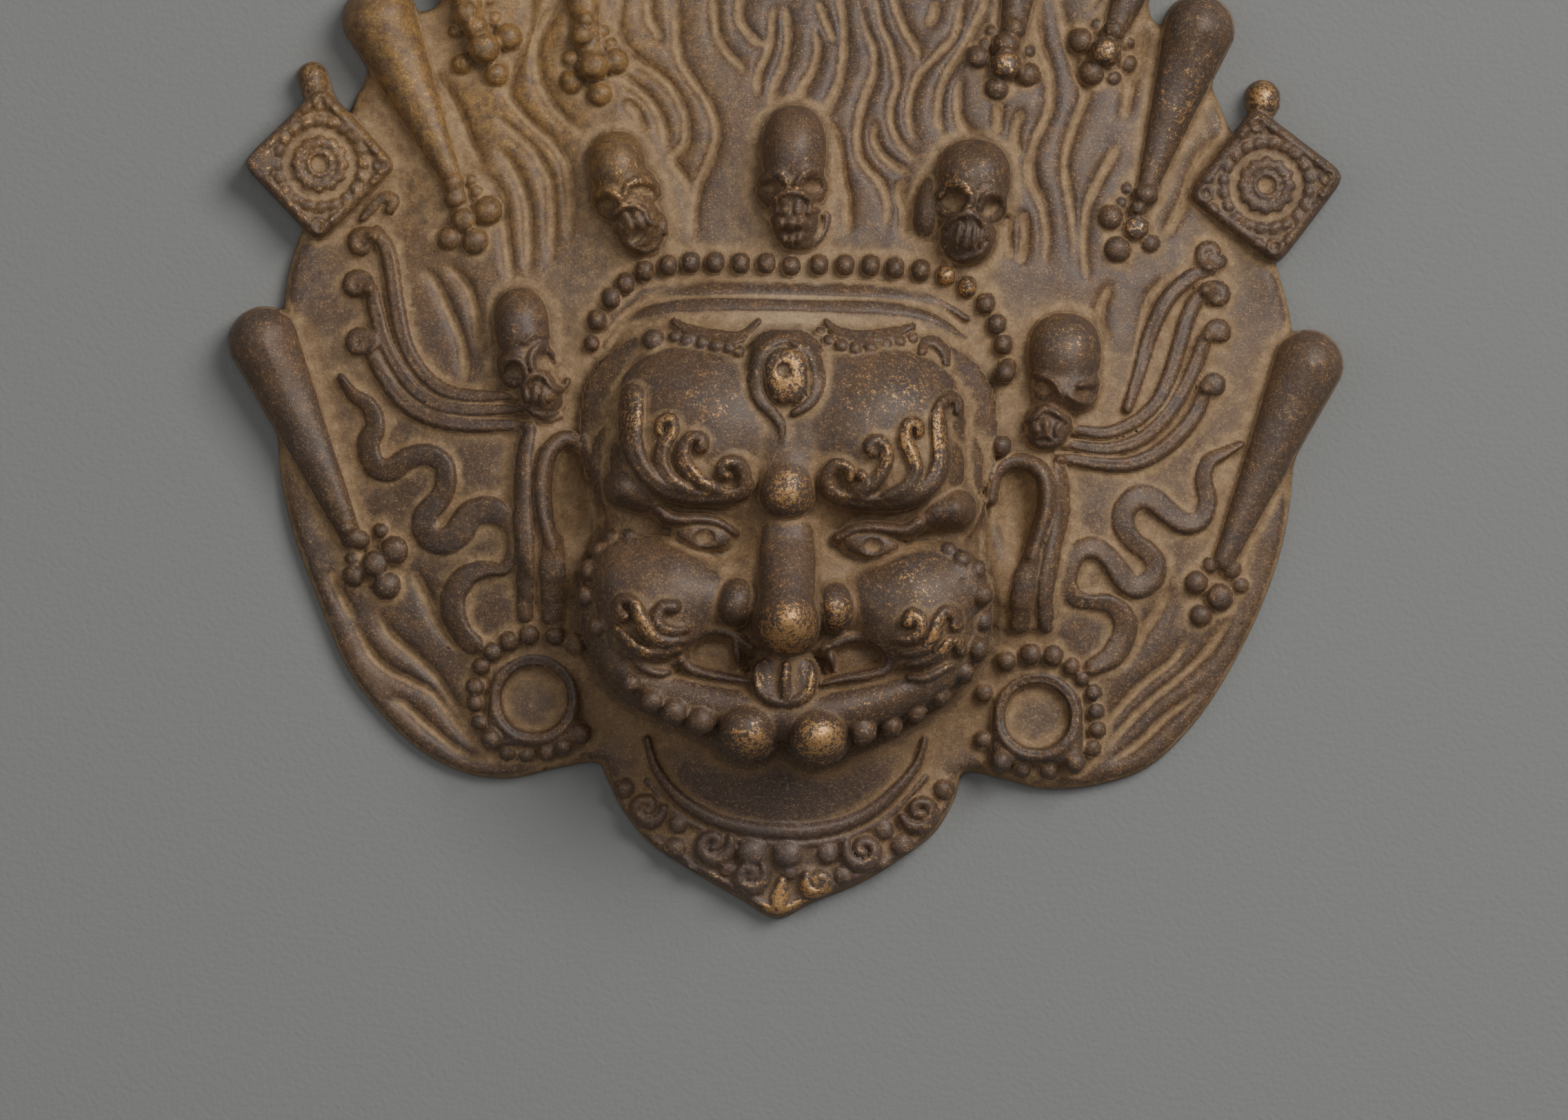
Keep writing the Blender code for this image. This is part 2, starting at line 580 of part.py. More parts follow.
def model_relief():
    """All forms of the front, in the order in which they stand on one another."""
    relief = Relief(GRID / UNIT)
    lay_plate(relief)
    lay_hair(relief)
    lay_clubs(relief)
    relief.settle()
    lay_streamers(relief)
    lay_ribbons(relief)
    lay_plaques(relief)
    for (fx, fy), tip, _, _ in CLUBS:
        for side in SIDES:
            lay_cluster(relief, side * fx, fy - 1.5, (side * tip[0], tip[1]))
    relief.settle()
    lay_ears(relief)
    lay_collar(relief)
    lay_hood(relief)
    lay_face(relief)
    lay_eyes(relief)
    lay_jaw_beads(relief)
    relief.settle()
    lay_earrings(relief)
    for skull in SKULLS:
        lay_skull(relief, *skull)
    return relief


def kept_cells(inside):
    """The grid's cells whose middle is inside, without cells that meet only at a corner."""
    middle = (inside[:-1, :-1] + inside[1:, :-1] + inside[:-1, 1:] + inside[1:, 1:]) / 4
    kept = middle > 0
    for _ in range(4):
        a, b, c, d = kept[:-1, :-1], kept[:-1, 1:], kept[1:, :-1], kept[1:, 1:]
        pinched = (a & d & ~b & ~c) | (b & c & ~a & ~d)
        kept[:-1, :-1] &= ~pinched
        kept[1:, 1:] &= ~pinched
        kept[:-1, 1:] &= ~pinched
        kept[1:, :-1] &= ~pinched
    return kept


def casting_mesh(relief):
    """A grid cut to the outline, extruded from the hollow back to the carved front."""
    rows, columns = relief.x.shape
    back = inner_height(relief)
    kept = kept_cells(relief.inside)
    slope_y, slope_x = np.gradient(relief.inside, relief.step)
    steep = slope_x**2 + slope_y**2 + 1e-9
    mesh = bmesh.new()
    bmesh.ops.create_grid(mesh, x_segments=columns - 1, y_segments=rows - 1, size=0.5)

    def cell(place):
        return round((place.y + 0.5) * (rows - 1)), round((place.x + 0.5) * (columns - 1))

    node_of = {vert: cell(vert.co) for vert in mesh.verts}
    outside = []
    for face in mesh.faces:
        corner = min(node_of[vert] for vert in face.verts)
        if not kept[corner]:
            outside.append(face)
    bmesh.ops.delete(mesh, geom=outside, context="FACES")
    edge_nodes = set()
    for edge in mesh.edges:
        if edge.is_boundary:
            edge_nodes.update(node_of[vert] for vert in edge.verts)
    for vert in mesh.verts:
        vert.co = (*node_of[vert], 0)
    sheet = [*mesh.verts, *mesh.edges, *mesh.faces]
    made = bmesh.ops.extrude_face_region(mesh, geom=sheet, use_keep_orig=True)
    front = {part for part in made["geom"] if isinstance(part, bmesh.types.BMVert)}
    for vert in mesh.verts:
        node = (round(vert.co.x), round(vert.co.y))
        x, y = relief.x[node], relief.y[node]
        z = relief.height[node] if vert in front else back[node]
        if node in edge_nodes:
            move = relief.inside[node] / steep[node]
            x -= move * slope_x[node]
            y -= move * slope_y[node]
            z = RIM_EDGE / UNIT if vert in front else 0
        vert.co = (x * UNIT, y * UNIT, z * UNIT)
    bmesh.ops.triangulate(mesh, faces=mesh.faces[:])
    bmesh.ops.recalc_face_normals(mesh, faces=mesh.faces[:])
    return mesh


def bronze():
    """Brown cast copper alloy."""
    material = bpy.data.materials.new("cast bronze")
    material.use_nodes = True
    shader = material.node_tree.nodes["Principled BSDF"]
    shader.inputs["Base Color"].default_value = (0.105, 0.06, 0.035, 1)
    shader.inputs["Metallic"].default_value = 0.8
    shader.inputs["Roughness"].default_value = 0.5
    return material


def thinned(mesh, triangles):
    """A copy of the mesh with about so many triangles, its back rim exactly flat."""
    draft = bpy.data.objects.new("draft", mesh)
    bpy.context.scene.collection.objects.link(draft)
    fewer = draft.modifiers.new("fewer", "DECIMATE")
    fewer.ratio = triangles / len(mesh.polygons)
    seen = draft.evaluated_get(bpy.context.evaluated_depsgraph_get())
    result = bpy.data.meshes.new_from_object(seen)
    bpy.data.objects.remove(draft)
    places = np.empty(len(result.vertices) * 3, np.float32)
    result.vertices.foreach_get("co", places)
    places = places.reshape(-1, 3)
    places[places[:, 2] < 0.1 * WALL, 2] = 0
    middle = (places.min(0) + places.max(0)) / 2
    places[:, :2] -= middle[:2]
    result.vertices.foreach_set("co", places.ravel())
    result.update()
    return result


def make_mask():
    """The whole mask as one object."""
    for old in list(bpy.data.objects):
        bpy.data.objects.remove(old)
    collection = bpy.data.collections.new("Mahakala mask")
    bpy.context.scene.collection.children.link(collection)
    shape = casting_mesh(model_relief())
    full = bpy.data.meshes.new("casting")
    shape.to_mesh(full)
    shape.free()
    mask = bpy.data.objects.new("mask", thinned(full, TRIANGLES))
    mask.data.name = "mask"
    mask.data.materials.append(bronze())
    mask.data.shade_smooth()
    collection.objects.link(mask)
    return mask


make_mask()
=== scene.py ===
# %% [markdown]
# # A cast bronze Mahakala mask
# The real object is one hollow casting: a wax model was modelled by hand, cast in copper alloy, and
# then handled, dusted and worn for a long time. Everything on it, from the skulls to the beads, is
# the same metal. So this lesson makes one surface: a height over a flat grid, on which each form is
# laid in the order in which a modeller would press wax onto the plate. The imported solid gives the
# frame and is kept, hidden.

# %% Load the frame
import math

import bpy
import numpy as np
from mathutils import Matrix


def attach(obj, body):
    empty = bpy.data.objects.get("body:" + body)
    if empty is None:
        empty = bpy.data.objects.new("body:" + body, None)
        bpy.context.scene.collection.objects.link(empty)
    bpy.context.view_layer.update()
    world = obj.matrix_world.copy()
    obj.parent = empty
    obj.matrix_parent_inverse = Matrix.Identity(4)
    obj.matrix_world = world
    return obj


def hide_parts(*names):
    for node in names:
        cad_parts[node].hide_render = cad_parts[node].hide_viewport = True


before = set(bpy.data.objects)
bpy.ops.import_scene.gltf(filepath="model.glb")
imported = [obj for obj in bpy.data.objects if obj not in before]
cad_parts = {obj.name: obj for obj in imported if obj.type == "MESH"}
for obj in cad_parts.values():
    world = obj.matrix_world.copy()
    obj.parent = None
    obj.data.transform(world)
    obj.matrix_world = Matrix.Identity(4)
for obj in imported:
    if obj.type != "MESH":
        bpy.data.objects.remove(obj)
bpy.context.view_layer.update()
MM = 0.001
SIDES = (-1, 1)

# %% [markdown]
# ## Camera, floor and light
# The mask lies on its flat back, so the camera looks straight down on it. The photograph was taken
# from far away with a long lens, which shows in how little of any side wall can be seen. A lens
# four metres up does the same. The picture's middle is on the mask's own axis at the nose bridge, and
# the mask is turned a little over one degree in it. The light is a broad soft lamp at the upper
# right, a weaker one at the left, and a grey world that fills the shadows.

# %% Camera
VIEW_WIDTH = 337.3 * MM
VIEW_TURN = math.radians(1.15)
VIEW_HEIGHT = 4.0
SENSOR = 36.0


def placed(name, data):
    """A new object with its data, in the scene."""
    made = bpy.data.objects.new(name, data)
    bpy.context.scene.collection.objects.link(made)
    return made


def aimed(data, name, place, target):
    """An object at a place, tilted and turned by the arctangents of its way to a target."""
    made = placed(name, data)
    made.location = place
    way = np.array(target, float) - np.array(place, float)
    pitch = math.atan2(math.hypot(way[0], way[1]), -way[2])
    made.rotation_euler = (pitch, 0, math.atan2(-way[0], way[1]))
    return made


camera = bpy.data.cameras.new("camera")
camera.sensor_width = SENSOR
camera.lens = SENSOR * VIEW_HEIGHT / VIEW_WIDTH
camera.clip_end = 20
camera_object = aimed(camera, "camera", (0, 0, VIEW_HEIGHT), (0, 0, 0))
camera_object.rotation_euler.z = VIEW_TURN
bpy.context.scene.camera = camera_object
print("lens in mm", round(camera.lens))

# %% Node helper, colours, floor and lamps


def linear(hex_colour):
    """sRGB hex to linear: ((c + 0.055) / 1.055) ** 2.4 for each channel over 0.04045."""
    channels = [int(hex_colour[i:i + 2], 16) / 255 for i in (1, 3, 5)]
    return (*(c / 12.92 if c <= 0.04045 else ((c + 0.055) / 1.055) ** 2.4 for c in channels), 1)


def node(tree, kind, inputs=None, **settings):
    """Adds a node, sets its properties, and fills or links its inputs by name or number."""
    made = tree.nodes.new(kind)
    for name, value in settings.items():
        setattr(made, name, value)
    for name, value in (inputs or {}).items():
        if isinstance(value, bpy.types.NodeSocket):
            tree.links.new(value, made.inputs[name])
        else:
            made.inputs[name].default_value = value
    return made


def new_material(name):
    """An empty material with its shader, and its node tree."""
    material = bpy.data.materials.new(name)
    material.use_nodes = True
    return material, material.node_tree, material.node_tree.nodes["Principled BSDF"]


FLOOR_HALF = 3.0
FLOOR_DROP = 0.2 * MM
x, y = np.meshgrid((-FLOOR_HALF, FLOOR_HALF), (-FLOOR_HALF, FLOOR_HALF))
corners = np.stack([x.ravel(), y.ravel(), np.full(4, -FLOOR_DROP)], 1)
floor_mesh = bpy.data.meshes.new("floor")
floor_mesh.from_pydata(corners.tolist(), [], [(0, 1, 3, 2)])
floor = placed("floor", floor_mesh)

paint, tree, shader = new_material("matt grey wall paint")
shader.inputs["Base Color"].default_value = linear("#797976")
shader.inputs["Roughness"].default_value = 0.9
grain = node(tree, "ShaderNodeTexNoise", {"Scale": 900.0, "Detail": 3.0})
place = node(tree, "ShaderNodeTexCoord")
tree.links.new(place.outputs["Object"], grain.inputs["Vector"])
bumps = {"Strength": 0.5, "Distance": 0.4 * MM, "Height": grain.outputs["Fac"]}
rough = node(tree, "ShaderNodeBump", bumps)
tree.links.new(rough.outputs["Normal"], shader.inputs["Normal"])
floor_mesh.materials.append(paint)

# Lamps: name, place, size, power
LAMPS = (
    ("key", (0.95, 0.85, 1.45), 1.0, 36.0),
    ("side", (-1.3, 0.2, 1.3), 1.2, 3.5),
    ("front", (0.0, 0.1, 2.4), 0.9, 7.0),
)
for name, spot, size, power in LAMPS:
    lamp = bpy.data.lights.new(name, "AREA")
    lamp.size = size
    lamp.energy = power
    aimed(lamp, name, spot, (0, 0, 0))

world = bpy.data.worlds.new("studio")
bpy.context.scene.world = world
world.use_nodes = True
world.node_tree.nodes["Background"].inputs["Color"].default_value = (0.75, 0.77, 0.8, 1)
world.node_tree.nodes["Background"].inputs["Strength"].default_value = 0.27
print("lamps", [lamp[0] for lamp in LAMPS])

# %% [markdown]
# ## Curves, distances and soft joins
# Three ideas make the whole relief. A curve is a smooth line through a few points, or a spiral. The
# distance to it gives the cross-section of a ridge or a groove. A smooth maximum joins a new form
# to what it stands on with a small fillet, as wax is joined with a warm tool. Each works on whole
# arrays at once. Tables of places are written as rows of numbers in a text: a semicolon parts one
# path from the next, and a bar stands before the sizes that go with a path.

# %% Tables, curves and joins


def numbers(text, columns):
    """The numbers of a text, in rows of so many."""
    return np.array(text.split(), float).reshape(-1, columns).tolist()


def paths(text, columns=2):
    """One list of rows for each part of a text; semicolons part them."""
    return [numbers(part, columns) for part in text.split(";")]


def pairs(text):
    """Paths, each with its own row of sizes after a bar."""
    parts = (part.split("|") for part in text.split(";"))
    return [(numbers(path, 2), [float(size) for size in sizes.split()]) for path, sizes in parts]


def smooth_max(a, b, blend):
    """The larger of a and b, plus blend * s(1-s) where s runs from 0 to 1 across the joint."""
    share = np.clip(0.5 + 0.5 * (a - b) / blend, 0, 1)
    return b + (a - b) * share + blend * share * (1 - share)


def smoothstep(t):
    """3t^2 - 2t^3 between 0 and 1."""
    t = np.clip(t, 0, 1)
    return t * t * (3 - 2 * t)


def curve(points, step=0.8, closed=False):
    """Catmull-Rom: each stretch is the cubic that passes through its ends along their neighbours."""
    p = np.asarray(points, float)
    if closed:
        p = np.vstack([p[-1], p, p[:2]])
    else:
        p = np.vstack([2 * p[0] - p[1], p, 2 * p[-1] - p[-2]])
    p0, p1, p2, p3 = (q[:, None, :] for q in (p[:-3], p[1:-2], p[2:-1], p[3:]))
    count = max(2, math.ceil(np.abs(p2 - p1).max() / step))
    t = (np.arange(count) / count)[None, :, None]
    c = 2 * p1 + (p2 - p0) * t + (2 * p0 - 5 * p1 + 4 * p2 - p3) * t**2
    c = 0.5 * (c + (p3 - 3 * p2 + 3 * p1 - p0) * t**3).reshape(-1, 2)
    return c if closed else np.vstack([c, p[-2]])


def spiral(x, y, radius, start, hand, turns=1.35, core=0.28):
    """Radius falls evenly to a share of itself while the angle winds, from a start in degrees."""
    s = np.linspace(0, 1, round(11 * turns) + 4)
    angle = math.radians(start) + hand * math.tau * turns * s
    reach = radius * (1 - (1 - core) * s)
    return np.stack([x + reach * np.cos(angle), y + reach * np.sin(angle)], 1)


def segment_distance(x, y, start, end):
    """Distance to a straight stretch, and the share of its length that lies nearest."""
    dx, dy = end[0] - start[0], end[1] - start[1]
    t = np.clip(((x - start[0]) * dx + (y - start[1]) * dy) / (dx * dx + dy * dy + 1e-12), 0, 1)
    return np.hypot(x - start[0] - t * dx, y - start[1] - t * dy), t


def polygon_inside(x, y, points):
    """Distance to a closed polygon, positive where a ray to the left crosses it an odd many times."""
    nearest = np.full(x.shape, np.inf)
    odd = np.zeros(x.shape, bool)
    for start, end in zip(points, np.roll(points, -1, axis=0)):
        nearest = np.minimum(nearest, segment_distance(x, y, start, end)[0])
        if start[1] != end[1]:
            across = (end[0] - start[0]) * (y - start[1]) / (end[1] - start[1]) + start[0]
            odd ^= ((start[1] > y) != (end[1] > y)) & (x < across)
    return np.where(odd, nearest, -nearest)


def turned(x, y, middle, degrees):
    """Places measured from a middle, along axes turned by an angle."""
    a = math.radians(degrees)
    dx, dy = x - middle[0], y - middle[1]
    return dx * math.cos(a) + dy * math.sin(a), dy * math.cos(a) - dx * math.sin(a)


def box_mean(values, cells, times=3):
    """Mean over a square of cells, again and again, which nears a bell-shaped blur."""
    for _ in range(times):
        for axis in (0, 1):
            pad = [(0, 0), (0, 0)]
            pad[axis] = (cells + 1, cells)
            total = np.cumsum(np.pad(values, pad, mode="edge"), axis=axis)
            width = 2 * cells + 1
            many = total.shape[axis]
            upper = np.take(total, range(width, many), axis=axis)
            lower = np.take(total, range(many - width), axis=axis)
            values = (upper - lower) / width
    return values


print("a spiral's points", len(spiral(0, 0, 3, 0, 1)))

# %% [markdown]
# ## The outline
# Seen from the front the mask is a plate with a pointed collar, from which clubs of flame, square
# plaques with a knob, and flame tips stand out. Each of these is a distance that is positive inside
# it, and the largest of them all is the distance inside the mask. A piece is broken out beside the
# left upper club, and it is taken away in the same manner. Above the photograph's edge the crown is
# carried on with plainer clubs and tips.

# %% The outline's forms, in millimetres from the nose bridge
# Both halves of the plate's edge, from the collar's point up: across, up
PLATE_LEFT = numbers("""
    0 -77 -8 -73 -18 -67.5 -27.5 -61.5 -33.5 -54.5 -37 -48 -39.3 -44.4 -47 -45.5 -58 -48 -68 -47 -78 -42
    -87 -33.5 -94 -24 -101 -8 -106 5 -109 20 -109.3 38 -108.5 54 -106 66 -98.5 85 -93.3 99 -88 109 -82
    115.5 -76.5 118.5
""", 2)
PLATE_RIGHT = numbers("""
    8 -73.3 18 -69 26 -64 33.5 -58 37.6 -51 39.8 -45 48 -46.2 57 -48 68 -47 79 -43 87.5 -35 94.5 -25 102
    -10 107 5 109 20 109.3 38 108 53 105 64 98 85 92 99 87 109 81.5 115.5 76.5 118.5
""", 2)
# Flame tips between the clubs: across, height of the foot, half width, rise
FLAMES = (
    (-68.5, 131, 7, 22), (-35.5, 144, 8, 22), (-19, 137, 7, 22),
    (19, 137, 7, 22), (35.5, 144, 8, 22), (68.5, 131, 7, 22),
)
# Clubs: foot, middle of the fat end, half widths of both
CLUBS = (
    ((-71, 76), (-89, 114.3), 1.7, 8.2),
    ((75.3, 78), (86.8, 115.6), 1.9, 7.8),
    ((-93, 3), (-112.6, 44.6), 2.6, 7.7),
    ((94.5, 2), (111.8, 44.2), 2.6, 7.6),
    ((-66.5, 108.5), (-85.2, 158), 2.3, 8.3),
    ((67, 110.5), (85.5, 158), 2.3, 8.3),
    ((-43, 105), (-55, 168), 2.3, 8.5),
    ((45.5, 107), (55.5, 168), 2.3, 8.5),
    ((0.5, 124), (0.5, 175.8), 2.3, 8.7),
)
# Share of a club's length, to this power, by which it has swollen
CLUB_SWELL = 1.05
# Plaques: middle, half side, turn. Knobs: middle, radius. The broken place: middle, radius
PLAQUES = ((-101.3, 83, 12.2, 45), (101.9, 82.4, 12.5, 54))
KNOBS = (((-101.7, 97), (-103.4, 101.8), 3.3), ((100.9, 100.5), (100.9, 101.5), 3.8))
LOSS = ((-95.2, 101.3, 3.0), (-95.9, 104.9, 1.9), (-97.4, 108.4, 1.2))


def club_half(share, foot, fat):
    """Half width of a club: foot + (fat - foot) * share^swell."""
    return foot + (fat - foot) * share**CLUB_SWELL


def square_inside(x, y, middle, half, turn):
    """Distance to a square's edge, half - (|u|^9 + |v|^9)^(1/9), positive inside."""
    u, v = turned(x, y, middle, turn)
    return half - half * (np.abs(u / half) ** 9 + np.abs(v / half) ** 9) ** (1 / 9)


def crown_tips():
    """The points of the flame tips, from right to left."""
    points = []
    for x, y, half, rise in FLAMES[::-1]:
        points += [(x + half, y), (x + 3, y + 0.64 * rise), (x, y + rise)]
        points += [(x - 3.5, y + 0.64 * rise), (x - half, y)]
    return points


def plate_inside(x, y):
    """Distance inside the plate alone."""
    outline = curve([*PLATE_RIGHT, *crown_tips(), *PLATE_LEFT[::-1]], 2.5, closed=True)
    return polygon_inside(x, y, outline)


def mask_inside(x, y, plate):
    """The largest of all the forms' distances, less the broken place."""
    inside = plate
    for foot, tip, foot_half, tip_half in CLUBS:
        distance, share = segment_distance(x, y, foot, tip)
        inside = smooth_max(inside, club_half(share, foot_half, tip_half) - distance, 1.2)
    for cx, cy, half, turn in PLAQUES:
        inside = np.maximum(inside, square_inside(x, y, (cx, cy), half, turn))
    for foot, tip, radius in KNOBS:
        inside = smooth_max(inside, radius - segment_distance(x, y, foot, tip)[0], 1.0)
    for cx, cy, radius in LOSS:
        inside = np.minimum(inside, np.hypot(x - cx, y - cy) - radius)
    return inside


print("clubs", len(CLUBS), "plaques", len(PLAQUES))

# %% [markdown]
# ## The modeller's tools
# The relief is an array of heights. A dome, a pearl, a strand and a ring add a form; a hollow and a
# groove take some away. A form stands on the ground, which is the relief as it was when the work
# last settled, so that beads laid side by side don't climb on each other. Each tool touches only a
# window of the array, which keeps hundreds of forms quick.

# %% Relief tools
GRID = 0.44
# The grid's reach across and up
ACROSS, UP = (-124, 124), (-80, 188)
# Past its edge a form falls away by so many mm for each mm
FALL = 1.5


class Relief:
    """Heights in millimetres over a grid, with the ground that the next forms stand on."""

    def __init__(self, step):
        """Places a step apart, their distances inside the outline, and heights of nought."""
        self.step = step
        self.xs = np.arange(ACROSS[0], ACROSS[1] + step, step)
        self.ys = np.arange(UP[0], UP[1] + step, step)
        self.x, self.y = np.meshgrid(self.xs, self.ys)
        self.plate = plate_inside(self.x, self.y)
        self.inside = mask_inside(self.x, self.y, self.plate)
        self.height = np.zeros(self.x.shape)
        self.ground = self.height

    def settle(self, soft=0.0):
        """What stands so far becomes the ground, softened over a reach if that is given."""
        cells = round(soft / self.step)
        self.ground = box_mean(self.height, cells) if cells else self.height.copy()

    def level(self, x, y):
        """The ground's height at a place."""
        row = np.clip(np.searchsorted(self.ys, y), 0, len(self.ys) - 1)
        column = np.clip(np.searchsorted(self.xs, x), 0, len(self.xs) - 1)
        return self.ground[row, column]

    def window(self, low, high):
        """The part of the arrays between two corners."""
        rows = slice(*np.searchsorted(self.ys, (low[1], high[1])))
        columns = slice(*np.searchsorted(self.xs, (low[0], high[0])))
        return rows, columns

    def around(self, x, y, reach):
        """The window within a reach of a place."""
        return self.window((x - reach, y - reach), (x + reach, y + reach))

    def join(self, where, past, form, blend):
        """Smooth maximum of height and form; past its edge the form falls by a steady slope."""
        old = self.height[where]
        form = form - FALL * np.clip(past, 0, None)
        self.height[where] = np.where(FALL * past < blend, smooth_max(old, form, blend), old)

    def dome(self, x, y, rx, ry, high, base=None, turn=0, blend=1.0, square=2.2, crown=2.0):
        """base + high * (1 - |u/rx|^square - |v/ry|^square)^(1/crown)."""
        where = self.around(x, y, (1.05 + 0.7 * blend / min(rx, ry)) * max(rx, ry) + 1)
        u, v = turned(self.x[where], self.y[where], (x, y), turn)
        out = np.abs(u / rx) ** square + np.abs(v / ry) ** square
        past = (out ** (1 / square) - 1) * min(rx, ry)
        base = self.level(x, y) if base is None else base
        self.join(where, past, base + high * np.clip(1 - out, 0, 1) ** (1 / crown), blend)

    def swell(self, x, y, rx, ry, high, turn=0, square=2.0):
        """Adds high * exp(-out^square); a negative height hollows."""
        where = self.around(x, y, 2.6 * max(rx, ry))
        u, v = turned(self.x[where], self.y[where], (x, y), turn)
        self.height[where] += high * np.exp(-np.hypot(u / rx, v / ry) ** square)

    def pearl(self, x, y, radius, lift=0.35, base=None, blend=0.25):
        """A ball whose middle stands a share of its radius over the ground."""
        where = self.around(x, y, radius + blend + 1)
        out = np.hypot(self.x[where] - x, self.y[where] - y)
        base = self.level(x, y) if base is None else base
        ball = np.sqrt(np.clip(radius**2 - out**2, 0, None))
        self.join(where, out - radius, base + lift * radius + ball, blend)

    def along(self, points, reach):
        """The window about a path, the distance to it, the share of its length and its side."""
        points = np.asarray(points, float)
        rows, columns = self.window(points.min(0) - reach, points.max(0) + reach)
        x, y = self.x[rows, columns], self.y[rows, columns]
        nearest, share, side = np.full(x.shape, 1e9), np.zeros(x.shape), np.zeros(x.shape)
        run = np.concatenate([[0], np.cumsum(np.hypot(*np.diff(points, axis=0).T))])
        ys, xs = self.ys[rows], self.xs[columns]
        for number, (a, b) in enumerate(zip(points[:-1], points[1:])):
            low, high = np.minimum(a, b) - reach, np.maximum(a, b) + reach
            part = (
                slice(*np.searchsorted(ys, (low[1], high[1]))),
                slice(*np.searchsorted(xs, (low[0], high[0]))),
            )
            distance, t = segment_distance(x[part], y[part], a, b)
            closer = distance < nearest[part]
            at = (run[number] + t * (run[number + 1] - run[number])) / run[-1]
            turn = (b[0] - a[0]) * (y[part] - a[1]) - (b[1] - a[1]) * (x[part] - a[0])
            for kept, new in ((nearest, distance), (share, at), (side, np.sign(turn))):
                kept[part] = np.where(closer, new, kept[part])
        return (rows, columns), nearest, share, side

    def strand(self, points, halves, highs, base=None, blend=0.3, smooth=True, crown=2.0):
        """A ridge, ground + high * (1 - (d/half)^2)^(1/crown); halves and highs at even shares."""
        points = curve(points) if smooth else points
        halves, highs = (np.atleast_1d(values).astype(float) for values in (halves, highs))
        where, distance, share, _ = self.along(points, halves.max() + blend + 1)
        half = np.interp(share, np.linspace(0, 1, len(halves)), halves)
        high = np.interp(share, np.linspace(0, 1, len(highs)), highs)
        up = high * np.clip(1 - (distance / half) ** 2, 0, 1) ** (1 / crown)
        base = self.ground[where] if base is None else base
        self.join(where, distance - half, base + up, blend)

    def sunk(self, outline, floor, edge):
        """Presses a closed outline down to a flat floor, over a soft edge."""
        points = curve(outline, closed=True)
        where = self.window(points.min(0) - 1, points.max(0) + 1)
        share = smoothstep(polygon_inside(self.x[where], self.y[where], points) / edge)
        self.height[where] += share * (floor - self.height[where])

    def groove(self, points, half, deep, ends=0.12):
        """Takes away deep * exp(-(d/half)^2), fading at both ends."""
        where, distance, share, _ = self.along(curve(points), 2.6 * half)
        fade = smoothstep(share / ends) * smoothstep((1 - share) / ends)
        self.height[where] -= deep * fade * np.exp(-((distance / half) ** 2))

    def ring(self, x, y, radius, half, high, lobes=0, swing=0.0):
        """A rounded ridge on a circle whose radius swings with the cosine of lobes times the angle."""
        where = self.around(x, y, radius + half + 1)
        u, v = self.x[where] - x, self.y[where] - y
        out = np.abs(np.hypot(u, v) - radius - swing * np.cos(lobes * np.arctan2(v, u)))
        up = high * np.sqrt(np.clip(1 - (out / half) ** 2, 0, 1))
        self.join(where, out - half, self.ground[where] + up, 0.2)


relief = Relief(GRID)
print("grid", relief.x.shape, "mask covers cm2", round((relief.inside > 0).sum() * GRID**2 / 100))

# %% [markdown]
# ## Plate, hair and clubs
# The plate has a rounded edge and rises slowly to the head. The hair is drawn as the maker cut it:
# by its grooves. Each place is rounded by its distance to the nearest groove, so the locks between
# them are as wide as the grooves are apart, and they split and join where grooves start and end.
# Clubs are round across and swell to the outer end like a pear.

# %% Lay the plate
EDGE_ROUND = 3.4
EDGE_LOW = 1.2
# How much the plate rises inward, and over what distance
RISE, RISE_WIDTH = 9, 46
# Height, reach and middle of the swell behind the skulls
SWELL, SWELL_REACH, SWELL_UP = 7, 62, 22


def lay_plate(relief):
    """Quarter-round edge + smoothstep rise inward + a bell-shaped swell behind the skulls."""
    inward = np.clip(relief.inside / EDGE_ROUND, 0, 1)
    edge = EDGE_LOW + EDGE_ROUND * np.sqrt(1 - (1 - inward) ** 2)
    rise = RISE * smoothstep(relief.inside / RISE_WIDTH)
    out = np.hypot(relief.x / SWELL_REACH, (relief.y - SWELL_UP) / SWELL_REACH)
    swell = SWELL * np.exp(-(out**3))
    relief.height = np.where(relief.inside > 0, edge + rise + swell, 0)


lay_plate(relief)
print("plate rises to mm", relief.height.max().round(1))

